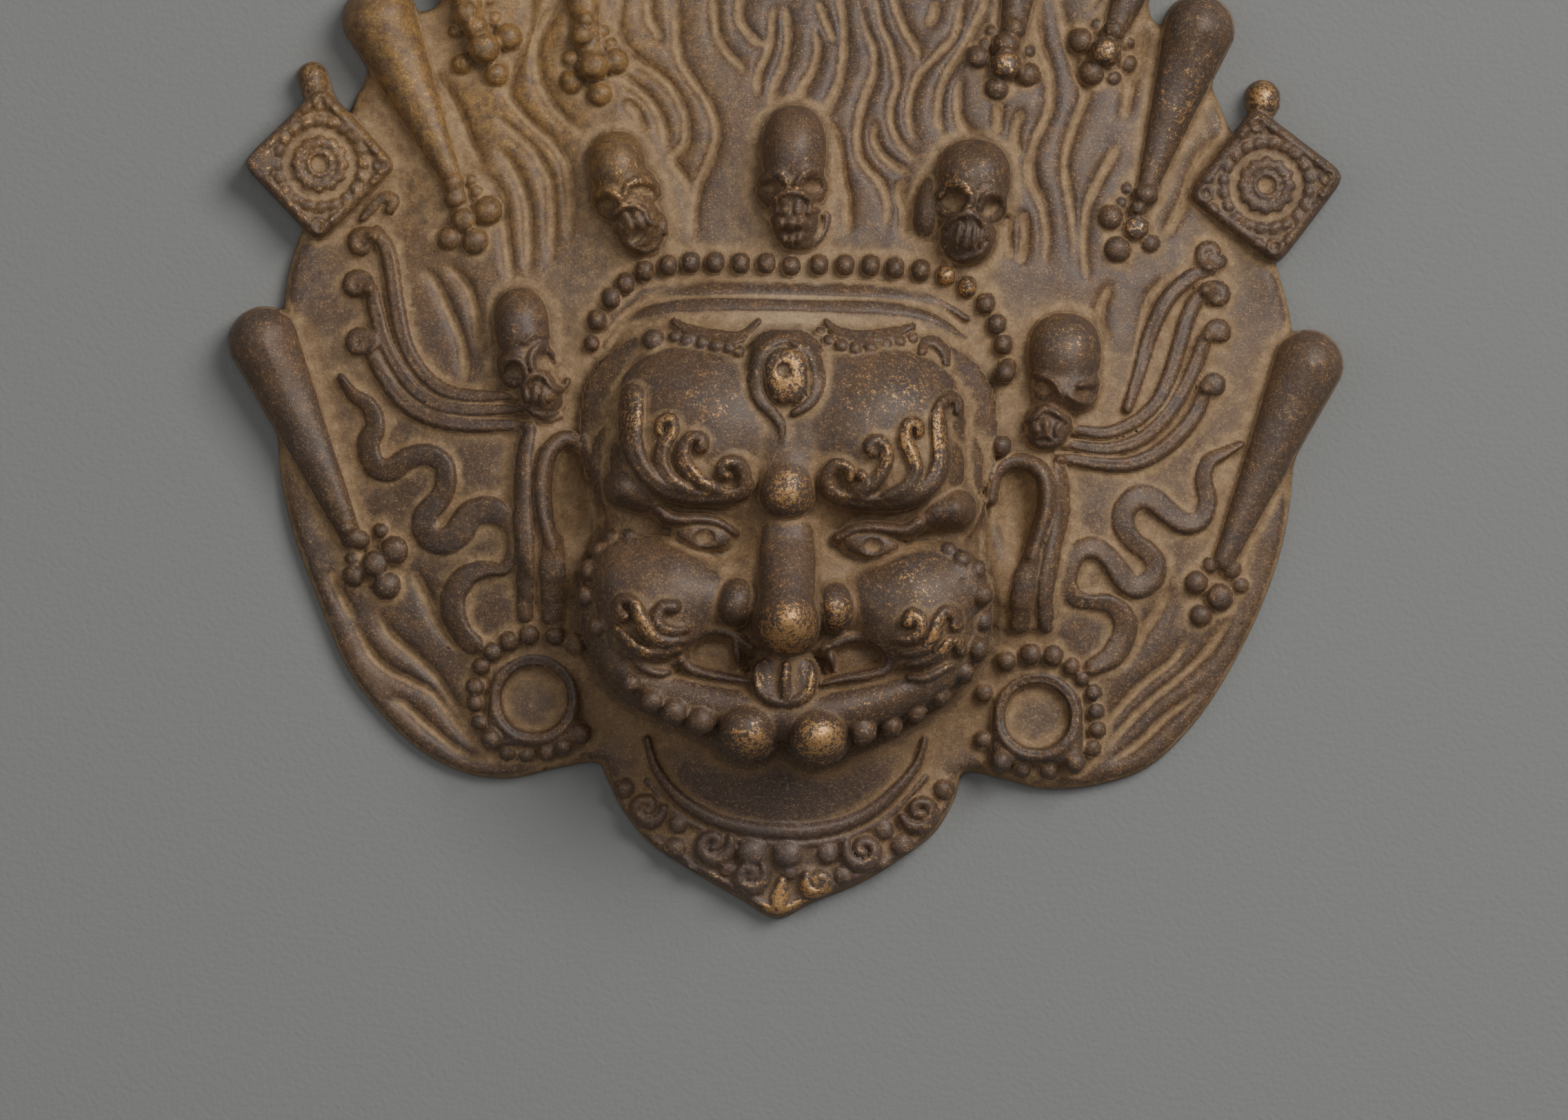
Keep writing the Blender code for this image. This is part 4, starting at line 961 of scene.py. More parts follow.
def lay_eyes(relief):
    """A small eyeball with a sunk round iris, under a lid that swings in from the temple."""
    for x, y, turn in EYES:
        base = relief.level(x, y - 5) - 1.2
        relief.dome(x, y - 0.4, 6.1, 3.2, 3.6, base=base, turn=turn, blend=0.8, square=2.0)
    relief.settle()
    halves, highs = (1.7, 1.6, 1.5, 1.4, 1.2, 0.7), (4.2, 4.0, 4.0, 3.8, 2.9, 1.5)
    for path, (x, y, _) in zip(LIDS, EYES):
        base = relief.level(x, y) - 2.6
        relief.strand(path, halves, highs, base=base, blend=1.0, crown=1.6)
    relief.settle()
    for x, y, _ in EYES:
        relief.swell(x + 0.2, y - 1.0, 2.1, 1.6, -1.8, square=5)
    relief.settle()


def lay_brows(relief):
    """Thick strands that end in curls, the outer ones first; the first three of each side get a groove
    down the middle.
    """
    for strands in BROWS:
        for path, halves in strands:
            relief.strand(path, halves, 0.9 * np.array(halves) + 1.9, blend=0.6)
    relief.settle()
    for strands in BROWS:
        for path, halves in strands[:3]:
            relief.groove([(x - 0.6, y + 0.2) for x, y in path[1:-2]], 0.45, 0.7)


def lay_third_eye(relief):
    """A boss, an oval eyeball with a shallow pupil, and a flame-shaped loop that trails down."""
    x, y = -0.2, 39.4
    relief.dome(x - 0.4, y, 8.2, 9, 4.2, base=relief.level(x - 6, y) - 1.5, blend=1.2, square=2.6)
    relief.settle()
    relief.dome(x, y - 0.2, 4.6, 6.1, 4.0, turn=6, blend=0.5, square=2.6, crown=3)
    loop = numbers("-0.8 25.5 -1.4 29 -3.6 31.8 -6 34.8 -7 39.2 -6.2 43 -3.6 46 0 47.6 3 49.6", 2)
    halves = (0.5, 1.3, 1.6, 1.8, 1.9, 1.8, 1.6, 1.5, 0.9)
    highs = (0.6, 1.6, 2, 2.2, 2.2, 2.2, 2, 1.8, 1)
    relief.strand(loop, halves, highs, blend=0.5)
    right = numbers("0.8 46.4 4 44.8 6.2 41.4 6.4 37.8 4.8 33.8 1.6 31.4", 2)
    relief.strand(right, (0.9, 1.5, 1.8, 1.8, 1.5, 1.0), 2.0, blend=0.5)
    relief.swell(x - 0.6, y + 0.9, 1.6, 1.6, -1.3, square=5)
    relief.strand([(5.4, 43.5), (6, 39.5), (5, 35.6), (2.8, 33)], (0.6, 0.9, 0.6), 1.0, blend=0.5)
    relief.settle()


lay_eyes(relief)
lay_brows(relief)
lay_third_eye(relief)
print("brow strands", sum(map(len, BROWS)))

# %% Whiskers on the cheeks, the hairline and the beads beside the face
WHISKERS = pairs("""
    -34 -12.6 -35.4 -11.2 -34.6 -9.2 -32.2 -9.4 -30.4 -12.4 -28.4 -16.3 -25 -18.2 -21 -17.6 | 1.5 1.3
    1.4 1.7 1.9 1.9 1.7 0.9;
    -35.6 -15.2 -33.4 -17.6 -30.6 -20 -26.6 -21 -22 -19.6 | 0.9 1.5 1.8 1.7 0.8;
    -34 -20.4 -31.6 -21.6 -28.8 -23.4 -25 -24 -21.6 -22 | 0.9 1.4 1.6 1.5 0.7;
    -23.2 -10.4 -25.4 -10.4 -26.8 -12.6 -25.6 -15 -23 -15.8 -20.6 -15.2 | 1.6 1.5 1.6 1.6 1.4 0.8;
    26.6 -12.6 27.6 -11 29.4 -12.2 29 -15 26.6 -16.6 24 -16.4 | 1.6 1.5 1.5 1.5 1.3 0.7;
    37 -13.2 36.8 -11 34.6 -10.2 33 -12.6 32 -16 29.6 -19 25.6 -19.8 | 1.5 1.4 1.5 1.6 1.6 1.4 0.7;
    38.2 -18.6 37.6 -16.8 35.6 -17 33.6 -19.6 30.6 -21.6 26.6 -21.9 | 1.5 1.3 1.4 1.5 1.4 0.7;
    36 -21.8 33.6 -23 30.6 -24.4 27 -24.4 | 0.8 1.3 1.3 0.7
""")
# Pearls of the hairline and beads beside the face: middle, radius
HAIRLINE = numbers("""
    -24 47 1.3 -21.5 46.2 1.4 -18.3 45.7 1.3 -15.3 45.2 1.4 -12.5 44.8 1.3 -10.4 44 1.2 6.8 48.5 1.3 8.7
    46.7 1.3 11.3 45.8 1.4 14.3 45.2 1.3 17.5 45.5 1.3 20.8 46.3 1.3 23.6 47 1.3 26.4 47.7 1.3
""", 3)
FACE_BEADS = numbers("""
    -33 4.5 1.5 -36.5 3.7 1.9 -39 1 2.1 -41 -3 2.3 -42 -8.5 2 -39.5 -15 1.8 35 2.7 1.6 37.8 0.7 1.7 41
    -1.2 1.9 42.3 -6.5 2.1 42.5 -12 2.1 41.7 -18 2.1 39 -23 1.9 46 25.4 2 46.5 41 1.8 -17 -34.5 3 -22.5
    -32.6 2.8 -27.5 -30.5 2.4 -32 -26.8 1.9 17.5 -36 2.9 23.5 -34.6 2.5 28.8 -31.6 2.2 34 -28.2 2
""", 3)


SWAGS = paths("""
    -24.5 50.4 -20.5 48.4 -15 47.2 -10 47.6 -6.5 50.8; 8 51 11 48.8 16 47.8 22 48.8 26.5 50.4
""")


def lay_trim(relief):
    """Curled whiskers on the cheeks, small pearls and leaf swags at the hairline, beads at the jaw."""
    for path, halves in WHISKERS:
        relief.strand(path, halves, 1.2 * np.array(halves) + 1.3, blend=0.5)
    relief.settle()
    for x, y, radius in HAIRLINE:
        relief.pearl(x, y, 1.08 * radius, 0.7, blend=0.25)
    relief.pearl(-28.6, 46.2, 2.4, 0.3, blend=0.4)
    for swag in SWAGS:
        relief.strand(swag, (0.8, 1.6, 1.9, 1.6, 0.8), 2.7, blend=0.5)
        relief.groove([(x, y + 0.3) for x, y in swag], 0.4, 0.6)
    curl = [(28.6, 45.2), (29.4, 47.2), (31.8, 47), (33.4, 45), (33.8, 42.6)]
    relief.strand(curl, (1.1, 1.4, 1.4, 1.3, 0.7), 2.4, blend=0.4)
    for x, y, radius in FACE_BEADS:
        base = max(relief.level(x, y), 22) if abs(x) > 30 else None
        relief.pearl(x, y, radius, 0.5, base=base, blend=0.5)
    relief.settle()


lay_trim(relief)
print("beads beside the face", len(FACE_BEADS))

# %% [markdown]
# ## Earrings and skulls
# Each earring is a dish in a raised double rim, with a ring of beads that follows it a little off
# centre. The five skulls lean as they were pressed on, and no two are alike: a tall dome, brows over
# sunken eyes, a lip that arches and curls out like a moustache, and bared teeth over a jaw.

# %% Earrings
# Middle and radius of each ring, and its beads, pressed on by eye: x, y, radius
EARRINGS = (
    (-53, -31, 9.8, numbers("""
        -44.5 -18.8 2 -48.5 -17 2 -54.3 -17 2 -58.5 -18.5 1.9 -62 -20.8 1.8 -64.3 -24 1.7 -65.6 -28.5
        1.8 -65.5 -32 1.7 -64.5 -36 1.6 -62 -39.5 1.8 -58.5 -42 1.9 -54.5 -42.5 1.7 -50 -42 1.7 -46.5
        -40.7 1.6 -43 -38 2
    """, 3)),
    (55, -32.5, 9.6, numbers("""
        48 -20.5 2 53.3 -19 2.1 58 -19.2 2 62 -21.5 1.7 64.3 -24 1.5 66.8 -27 1.6 67.5 -31 1.6 67.8 -35
        1.7 66.8 -38.8 1.8 63.3 -42 1.9 57.8 -43.8 1.8 52 -43.5 1.8 47.5 -42 2 43.5 -37.5 1.8 43.5 -27.5
        1.8
    """, 3)),
)


def lay_earring(relief, cx, cy, radius, beads):
    """A drum with a sunk dish, two fine rings on its rim, and the pearls beside it."""
    relief.dome(cx, cy, radius + 0.4, radius + 0.4, 3, blend=0.8, square=6)
    where = relief.around(cx, cy, radius + 1)
    out = np.hypot(relief.x[where] - cx, relief.y[where] - cy)
    relief.height[where] -= 2.6 * smoothstep(radius - 1.9 - out)
    relief.settle()
    relief.ring(cx, cy, radius - 0.8, 0.8, 0.9)
    relief.ring(cx, cy, radius - 2.4, 0.7, 1.0)
    for x, y, bead in beads:
        relief.pearl(x, y, 1.12 * bead, 0.35, blend=0.4)


for earring in EARRINGS:
    lay_earring(relief, *earring)
print("earrings", len(EARRINGS))

# %% Skulls
# Each was pressed on by hand and differs. Domes: middle, half sizes, height, turn. Sockets: middle,
# half sizes, depth. Ridges: half width, height, path. All in millimetres of the mask
SKULLS = (
    (numbers("0.4 87 7.3 10.6 13 0 0 79.6 8 6 11.5 0 1 73 5.8 7 10.5 0", 6),
     numbers("-4.6 79.4 2.3 1.5 2.4 4.7 79.7 2.4 1.6 2.4 0.4 69.9 3.8 1.3 1.6", 5), paths("""
        1 1.5 -7 80.6 -5.2 82.2 -2.4 82.4 -1 80.6; 1.2 2 1.2 80.4 2.6 82.2 5 83.2 7 82 7.6 79.6; 0.9 2.6
        -3.2 74.6 -3.4 77 -1.6 78.3 0.5 78.6 2.6 78.2 4.1 76.8 4 74.6; 1.6 1.6 -1.6 76.2 -1.6 74.8; 1.6
        1.6 1.7 76.2 1.7 74.8; 0.9 1.6 -5 75 -4.9 73.2 -3.2 72.6; 1 2.2 4 74.4 6 75 7.7 73.6 7 70.4 5
        67.6 2 66.6 -1 67; 1.1 1.6 -2.6 72.6 -2.3 71.2; 1.1 1.6 0 72.2 0 70.8; 1.1 1.6 2.4 72.6 2.2
        71.2; 0.7 1.5 -1.6 69.2 -1.3 67.8; 0.7 1.5 0.2 69 0.2 67.6; 0.7 1.5 2 69.4 1.8 68
    """)),
    (numbers("-37.2 83.2 6.6 8.2 12.5 12 -35.4 77.8 7.8 6.4 11.5 22 -32.4 71.4 6 7.4 10.5 22", 6),
     numbers("-39.8 75.4 2.4 1.6 2.6 -31.2 78.2 2.2 1.2 2.4 -33 68.6 3.4 1.4 1.4", 5), paths("""
        1.1 2 -42.4 75.4 -41.4 77.2 -39 77.9 -37 76.8 -36 75; 1.1 2 -35.8 76.8 -34.8 79.4 -32 80.7 -29.4
        80 -28.2 77.8; 0.6 1 -33 77.4 -31 78.8 -29.4 78.4; 0.9 2.8 -37.6 69.4 -38.1 72.4 -36.2 74.5
        -33.4 75 -31.2 74 -30.6 72.2 -29 71.4 -28 73 -26.9 72.2 -26.6 69.6; 1.3 1.8 -35.6 73 -34.4 70.6
        -34.6 68; 1.4 2.2 -33 73.2 -31.8 71; 0.9 1.6 -36.7 71 -36.4 68.6; 0.8 1.5 -29.6 70.6 -30.8 68.4
        -32.4 66.6; 1.1 1.8 -36 67.4 -33.6 66 -31 64.8 -28.6 66
    """)),
    (numbers("39 82.4 8.3 8.8 13 0 29.8 76 4 8 6.5 -8 38 77 8.4 6 12 0 38 71 6.4 7.4 11 0", 6),
     numbers("34.4 77 2.5 2 3 42.8 76 2.3 1.9 3", 5), paths("""
        1.2 2.4 31.6 78.6 32.6 80.8 35 81.3 37.6 79.8 38.6 77.6 37.2 75.6; 2 1.8 32.8 83.4 36.6 82.6;
        1.1 2.2 40.5 76 41.4 78.4 43.6 79.3 45.6 78 46.5 75.4; 0.9 2.8 32.8 71.6 34.6 73.5 36.6 74.6
        38.8 74.6 40.6 73.4 42 71.8 42.4 69.8; 1.3 1.8 37.8 73.6 39 73.2; 0.75 2 36.2 72.4 35.4 68.6;
        0.75 2 37.8 72.2 37.3 67.6; 0.75 2 39.4 72 39.2 67.6; 0.75 2 41 71.4 40.8 68.2; 1.1 2.2 32.4
        71.2 32.2 67.6 34 65.2 37.2 64.6 40.4 66 42.6 68.4 43.6 71
    """)),
    (numbers("-57 48.6 6.4 9 11 8 -56 40.6 6.8 6 10.5 15 -52.6 34.6 5.2 6.4 9.5 25", 6),
     numbers("-58.6 39 2.4 1.9 2.8 -51.8 41.2 2.2 1.8 2.8", 5), paths("""
        1 2.1 -61.4 38.8 -60.7 41 -58.8 42 -57 41 -56 38.4; 1 2.1 -54.6 40 -54.9 42.6 -53.4 44.4 -51.6
        44.9 -50.4 43.4 -49.6 41.4; 0.6 0.9 -56.4 45.4 -54.6 47 -52 47.2 -50.2 45.8; 0.5 0.6 -58.8 43.6
        -56.6 43; 1 2.8 -55.8 33.2 -56.3 36 -54.4 38.3 -52 38.4 -50.6 36.6 -49.4 35.5 -47.8 35.8 -47.1
        37.4; 1 1.8 -53.8 36 -54.2 33.2; 1 1.8 -52 35.6 -52.2 32.8; 1.2 1.8 -50.8 34.8 -50.5 33.6; 1.2
        1.8 -57 31.8 -54.4 29.8 -51.2 29 -48.4 30
    """)),
    (numbers("59 45 8.4 9.6 11 0 59.4 38 7.8 6 10.5 0 56 30.2 5.4 6.4 9.5 -15", 6),
     numbers("55 37.6 2.2 1.7 2.4 64.4 36.8 2.2 1.6 2.2", 5), paths("""
        0.9 2.1 52.6 40.7 55 40.1 57 38.9 58.3 36.8; 1 2 62.6 38.6 64.6 39 66.6 40.2; 1.4 1.4 66.2 40
        66.8 39.6; 0.7 1.2 60 36.4 61.8 35.3 64 35; 0.9 2.6 51.2 30.6 53 31.8 54.4 33.4 56.2 33.5 58
        32.5 60 31; 1.3 1.8 52.8 29.6 53.4 28.8; 1.1 1.8 55.4 30.6 55.4 29; 1.4 1.8 58.4 29.6 58.2 28.4;
        0.6 1.2 53 27 55.4 28 57 26.8; 1.1 1.8 50.8 27.4 53.6 25.4 57.2 25.6 60 28.4 60.6 31
    """)),
)


def lay_skull(relief, domes, sockets, ridges):
    """Domes from the level beside the skull, then sunken sockets, then rounded ridges on top."""
    x, y = domes[0][:2]
    base = min(relief.level(x + way * domes[0][2], y) for way in SIDES) - 2.5
    for x, y, rx, ry, high, turn in domes:
        relief.dome(x, y, rx, ry, high + 2.5, base, turn, 2.0, 2.3, 2.3)
    relief.settle()
    for x, y, rx, ry, deep in sockets:
        relief.swell(x, y, rx, ry, -deep, square=3)
    relief.settle()
    for (half, high), *path in ridges:
        relief.strand(path, (0.8 * half, half, 0.8 * half), 0.85 * high, blend=0.4)
    relief.settle()


for skull in SKULLS:
    lay_skull(relief, *skull)
print("skulls", len(SKULLS))

# %% [markdown]
# ## From relief to metal
# A hand-modelled casting is never quite smooth, so a faint unevenness of a few hundredths of a
# millimetre is added, drawn once from a seeded cloud. The back follows the front at the depth of the
# wall, with small forms left solid, and comes down flat along the rim. The grid is cut to the
# outline, its edge points are moved onto the exact outline, and front, back and rim are closed into
# one skin. Decimate then spends the faces where the carving is.

# %% Unevenness and the hollow back
WALL = 3.0
RIM = 6.0
SMOOTHING = 3.0
SEED = 7
# The corner that the clouds are counted from, and the size and height of each
CLOUD_CORNER = (-130, -90)
CLOUDS = ((9.0, 0.22), (4.2, 0.13), (2.1, 0.07), (1.2, 0.045))


def cloud(relief, size, seed):
    """Random values at points a size apart, joined by smooth steps in both directions."""
    rng = np.random.default_rng(seed)
    u, v = (relief.x - CLOUD_CORNER[0]) / size, (relief.y - CLOUD_CORNER[1]) / size
    knots = rng.uniform(-1, 1, (int(v.max()) + 2, int(u.max()) + 2))
    i, j = v.astype(int), u.astype(int)
    s, t = smoothstep(v - i), smoothstep(u - j)
    low = knots[i, j] * (1 - t) + knots[i, j + 1] * t
    high = knots[i + 1, j] * (1 - t) + knots[i + 1, j + 1] * t
    return low * (1 - s) + high * s


def lowest_near(values, cells):
    """The lowest value within a round reach of cells."""
    lowest = values
    for row in range(-cells, cells + 1, 2):
        for column in range(-cells, cells + 1, 2):
            if row * row + column * column <= cells * cells:
                lowest = np.minimum(lowest, np.roll(values, (row, column), (0, 1)))
    return lowest


def back_height(relief):
    """Lowest height nearby, blurred, less the wall; flat at the rim."""
    reach = math.ceil((WALL + SMOOTHING) / relief.step)
    outside = lowest_near(relief.height, reach)
    soft = np.minimum(box_mean(outside, round(SMOOTHING / relief.step)), outside)
    return np.clip(soft - WALL, 0, None) * smoothstep((relief.plate - RIM) / RIM)


for size, high in CLOUDS:
    relief.height += high * cloud(relief, size, SEED + int(size)) * smoothstep(relief.inside / 2)
relief.height = np.where(relief.inside > 0, np.maximum(relief.height, EDGE_LOW), 0)
back = back_height(relief)
print("deepest hollow mm", back.max().round(1))

# %% Cut the grid to the outline and close the skin
TRIANGLES = 190_000


def kept_cells(inside):
    """Cells whose middle is inside, without those that meet only at a corner."""
    kept = inside[:-1, :-1] + inside[1:, :-1] + inside[:-1, 1:] + inside[1:, 1:] > 0
    for _ in range(4):
        a, b, c, d = kept[:-1, :-1], kept[:-1, 1:], kept[1:, :-1], kept[1:, 1:]
        pinched = (a & d & ~b & ~c) | (b & c & ~a & ~d)
        for rows in (slice(None, -1), slice(1, None)):
            for columns in (slice(None, -1), slice(1, None)):
                kept[rows, columns] &= ~pinched
    return kept


def edge_pairs(quads):
    """Directed sides of the quads that no other quad shares: the outline, in order of travel."""
    sides = np.concatenate([np.stack([quads[:, n], quads[:, (n + 1) % 4]], 1) for n in range(4)])
    many = quads.max() + 1
    forward = sides[:, 0] * many + sides[:, 1]
    backward = sides[:, 1] * many + sides[:, 0]
    return sides[~np.isin(forward, backward)]


def skin(relief, back):
    """Corners and quads of the closed casting: front, reversed back, and the rim between them."""
    rows, columns = relief.x.shape
    i, j = np.nonzero(kept_cells(relief.inside))
    first = i * columns + j
    quads = np.stack([first, first + 1, first + columns + 1, first + columns], 1)
    used, quads = np.unique(quads, return_inverse=True)
    quads = quads.reshape(-1, 4)
    rim = edge_pairs(quads)
    x, y, inside = (values.ravel()[used].copy() for values in (relief.x, relief.y, relief.inside))
    slope_y, slope_x = (slope.ravel()[used] for slope in np.gradient(relief.inside, relief.step))
    top, low = relief.height.ravel()[used].copy(), back.ravel()[used].copy()
    edge = np.unique(rim)
    move = inside[edge] / (slope_x[edge] ** 2 + slope_y[edge] ** 2 + 1e-9)
    x[edge] -= move * slope_x[edge]
    y[edge] -= move * slope_y[edge]
    top[edge], low[edge] = EDGE_LOW, 0
    many = len(used)
    points = np.concatenate([np.stack([x, y, top], 1), np.stack([x, y, low], 1)])
    walls = np.stack([rim[:, 1], rim[:, 0], rim[:, 0] + many, rim[:, 1] + many], 1)
    return points, np.concatenate([quads, quads[:, ::-1] + many, walls])


def quad_mesh(name, points, quads):
    """A mesh from arrays of corners and of four corner numbers a face."""
    mesh = bpy.data.meshes.new(name)
    mesh.vertices.add(len(points))
    mesh.vertices.foreach_set("co", points.astype(np.float32).ravel())
    mesh.loops.add(quads.size)
    mesh.loops.foreach_set("vertex_index", quads.astype(np.int32).ravel())
    mesh.polygons.add(len(quads))
    mesh.polygons.foreach_set("loop_start", np.arange(0, quads.size, 4, dtype=np.int32))
    mesh.update(calc_edges=True)
    mesh.validate()
    return mesh


def thinned(mesh, triangles):
    """A copy with about so many triangles, from the Decimate modifier."""
    draft = placed("draft", mesh)
    fewer = draft.modifiers.new("fewer", "DECIMATE")
    fewer.ratio = min(1, triangles / (2 * len(mesh.polygons)))
    finished = draft.evaluated_get(bpy.context.evaluated_depsgraph_get())
    result = bpy.data.meshes.new_from_object(finished)
    bpy.data.objects.remove(draft)
    return result


points, quads = skin(relief, back)
casting = thinned(quad_mesh("full casting", points, quads), TRIANGLES)
print("faces before", len(quads), "triangles after", len(casting.polygons))

# %% [markdown]
# ## Where dust lies and where metal shines
# Age shows by place. Dust and wax stay in hollows, and hands and cloths polish what stands out. Both
# follow from the relief itself: the height less its own blurred copy is negative in a hollow and
# positive on a rise. It is measured at three reaches, kept as attributes of the corners, and read by
# the material.

# %% Measure hollows and rises
# Attributes of the corners, and the reach that each is measured over
RISES = (("fine_rise", 0.8), ("wide_rise", 3.0), ("broad_rise", 9.0))


def sampled(relief, values, x, y):
    """Values between grid points, by straight shares of the four around each place."""
    u = np.clip((x - relief.xs[0]) / relief.step, 0, len(relief.xs) - 1.001)
    v = np.clip((y - relief.ys[0]) / relief.step, 0, len(relief.ys) - 1.001)
    j, i = u.astype(int), v.astype(int)
    s, t = u - j, v - i
    low = values[i, j] * (1 - s) + values[i, j + 1] * s
    high = values[i + 1, j] * (1 - s) + values[i + 1, j + 1] * s
    return low * (1 - t) + high * t


def rise(relief, reach):
    """Height less its blurred copy, with the floor outside raised so that the rim isn't a cliff."""
    filled = np.where(relief.inside > 0, relief.height, 3.0)
    return filled - box_mean(filled, max(1, round(reach / relief.step)))


def point_attribute(mesh, name, values):
    """Stores one number at each corner of the mesh."""
    made = mesh.attributes.new(name, "FLOAT", "POINT")
    made.data.foreach_set("value", values.astype(np.float32))


co = np.empty(len(casting.vertices) * 3, np.float32)
casting.vertices.foreach_get("co", co)
co = co.reshape(-1, 3).astype(float)
top = sampled(relief, relief.height, co[:, 0], co[:, 1])
low = sampled(relief, back, co[:, 0], co[:, 1])
is_front = (np.abs(co[:, 2] - top) <= np.abs(co[:, 2] - low)).astype(float)
rises = [sampled(relief, rise(relief, reach), co[:, 0], co[:, 1]) for _, reach in RISES]
for (name, _), values in zip(RISES, rises):
    point_attribute(casting, name, values * is_front)
fine, wide = rises[:2]

# Places that hands reach, rubbed to bare metal: across, up, reach, strength
RUBBED = numbers("""
    1 -15.5 6.5 1 1 15.5 5 0.8 9 -38 5.5 1 -6 -38.8 5 0.8 0 39.5 4.6 1.2 -17 33 6.5 0.55 25 38 6.5 0.6
    14 33 6 0.3 -33 30 5 0.6 -26 27 4 0.6 -19 19 5 0.6 33 27 6 0.7 26 24 5 0.7 19 21 5 0.5 12 17 5 0.5
    -12 17 5 0.4 -31 -14 5 0.7 -26 -20 5 0.5 35 -16 5 0.7 28 -13 4 0.6 28 -5 6 0.5 12 -11 4 0.7 4.5 -26
    3.5 0.9 -3.5 -26 3 0.6 20 -34 5 0.4 100.9 101.5 4.5 0.9 -103 102 4.5 0.5 45 107.5 4 0.7 67 110.5 4
    0.6 74 72.5 4 0.6 86 100 9 0.35 33.5 61.7 3.5 0.8 38 59 3.5 0.6 0 79 5 0.4 36 80 5 0.6 60 45 9 0.15
    0.5 -74 5.5 1.3 9 -71 5.5 0.9 -12 -68.5 5 0.5 -25 -62 5 0.4 21 -65.5 5 0.4 31 -58 5 0.4 -101 83 13
    0.4 -38 77 5 0.4 -32 80 4 0.5 66 -9 9 0.3 -72 106 14 0.3
""", 4)
rubbed = np.zeros(len(co))
for x, y, reach, strength in RUBBED:
    rubbed += strength * np.exp(-((np.hypot(co[:, 0] - x, co[:, 1] - y) / reach) ** 2))
shine = np.clip(rubbed + 0.12 * smoothstep(wide / 2.5), 0, 1.2)
rubbed = is_front * shine * np.clip(0.5 + 2.5 * fine, 0, 1)
point_attribute(casting, "rubbed", rubbed)
print("rises mm", fine.min().round(2), fine.max().round(2), wide.min().round(2), wide.max().round(2))

# %% Put the mask in its place
# Whatever is this low lies on the floor
FLAT_BELOW = 0.05

middle = (co.min(0) + co.max(0)) / 2
co[:, :2] -= middle[:2]
co[co[:, 2] < FLAT_BELOW, 2] = 0
casting.vertices.foreach_set("co", (co * MM).astype(np.float32).ravel())
casting.update()
casting.name = "bronze mask"
mask = placed("bronze_mask", casting)
casting.shade_smooth()
camera_object.location.xy = -middle[:2] * MM
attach(mask, "root")
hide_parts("mask")
print("mask", [round(v / MM, 1) for v in mask.dimensions])

# %% [markdown]
# ## The patina
# Cast bronze of this age is not yellow: a thin brown skin of oxide and wax covers it, darker and a
# little violet where it was never rubbed, and ochre dust lies in every hollow. Only the nose, chin,
# brows and curls show metal, in specks. So the shader is mostly a dull brown coat, and its metallic
# value rises only where the wear mask lets the metal through. All patterns read Object coordinates,
# in metres, with scales worked out from the size of a speck in millimetres.

# %% Aged bronze


def per_mm(size):
    """The scale of a noise whose features are about so many millimetres across."""
    return 1 / (size * MM)


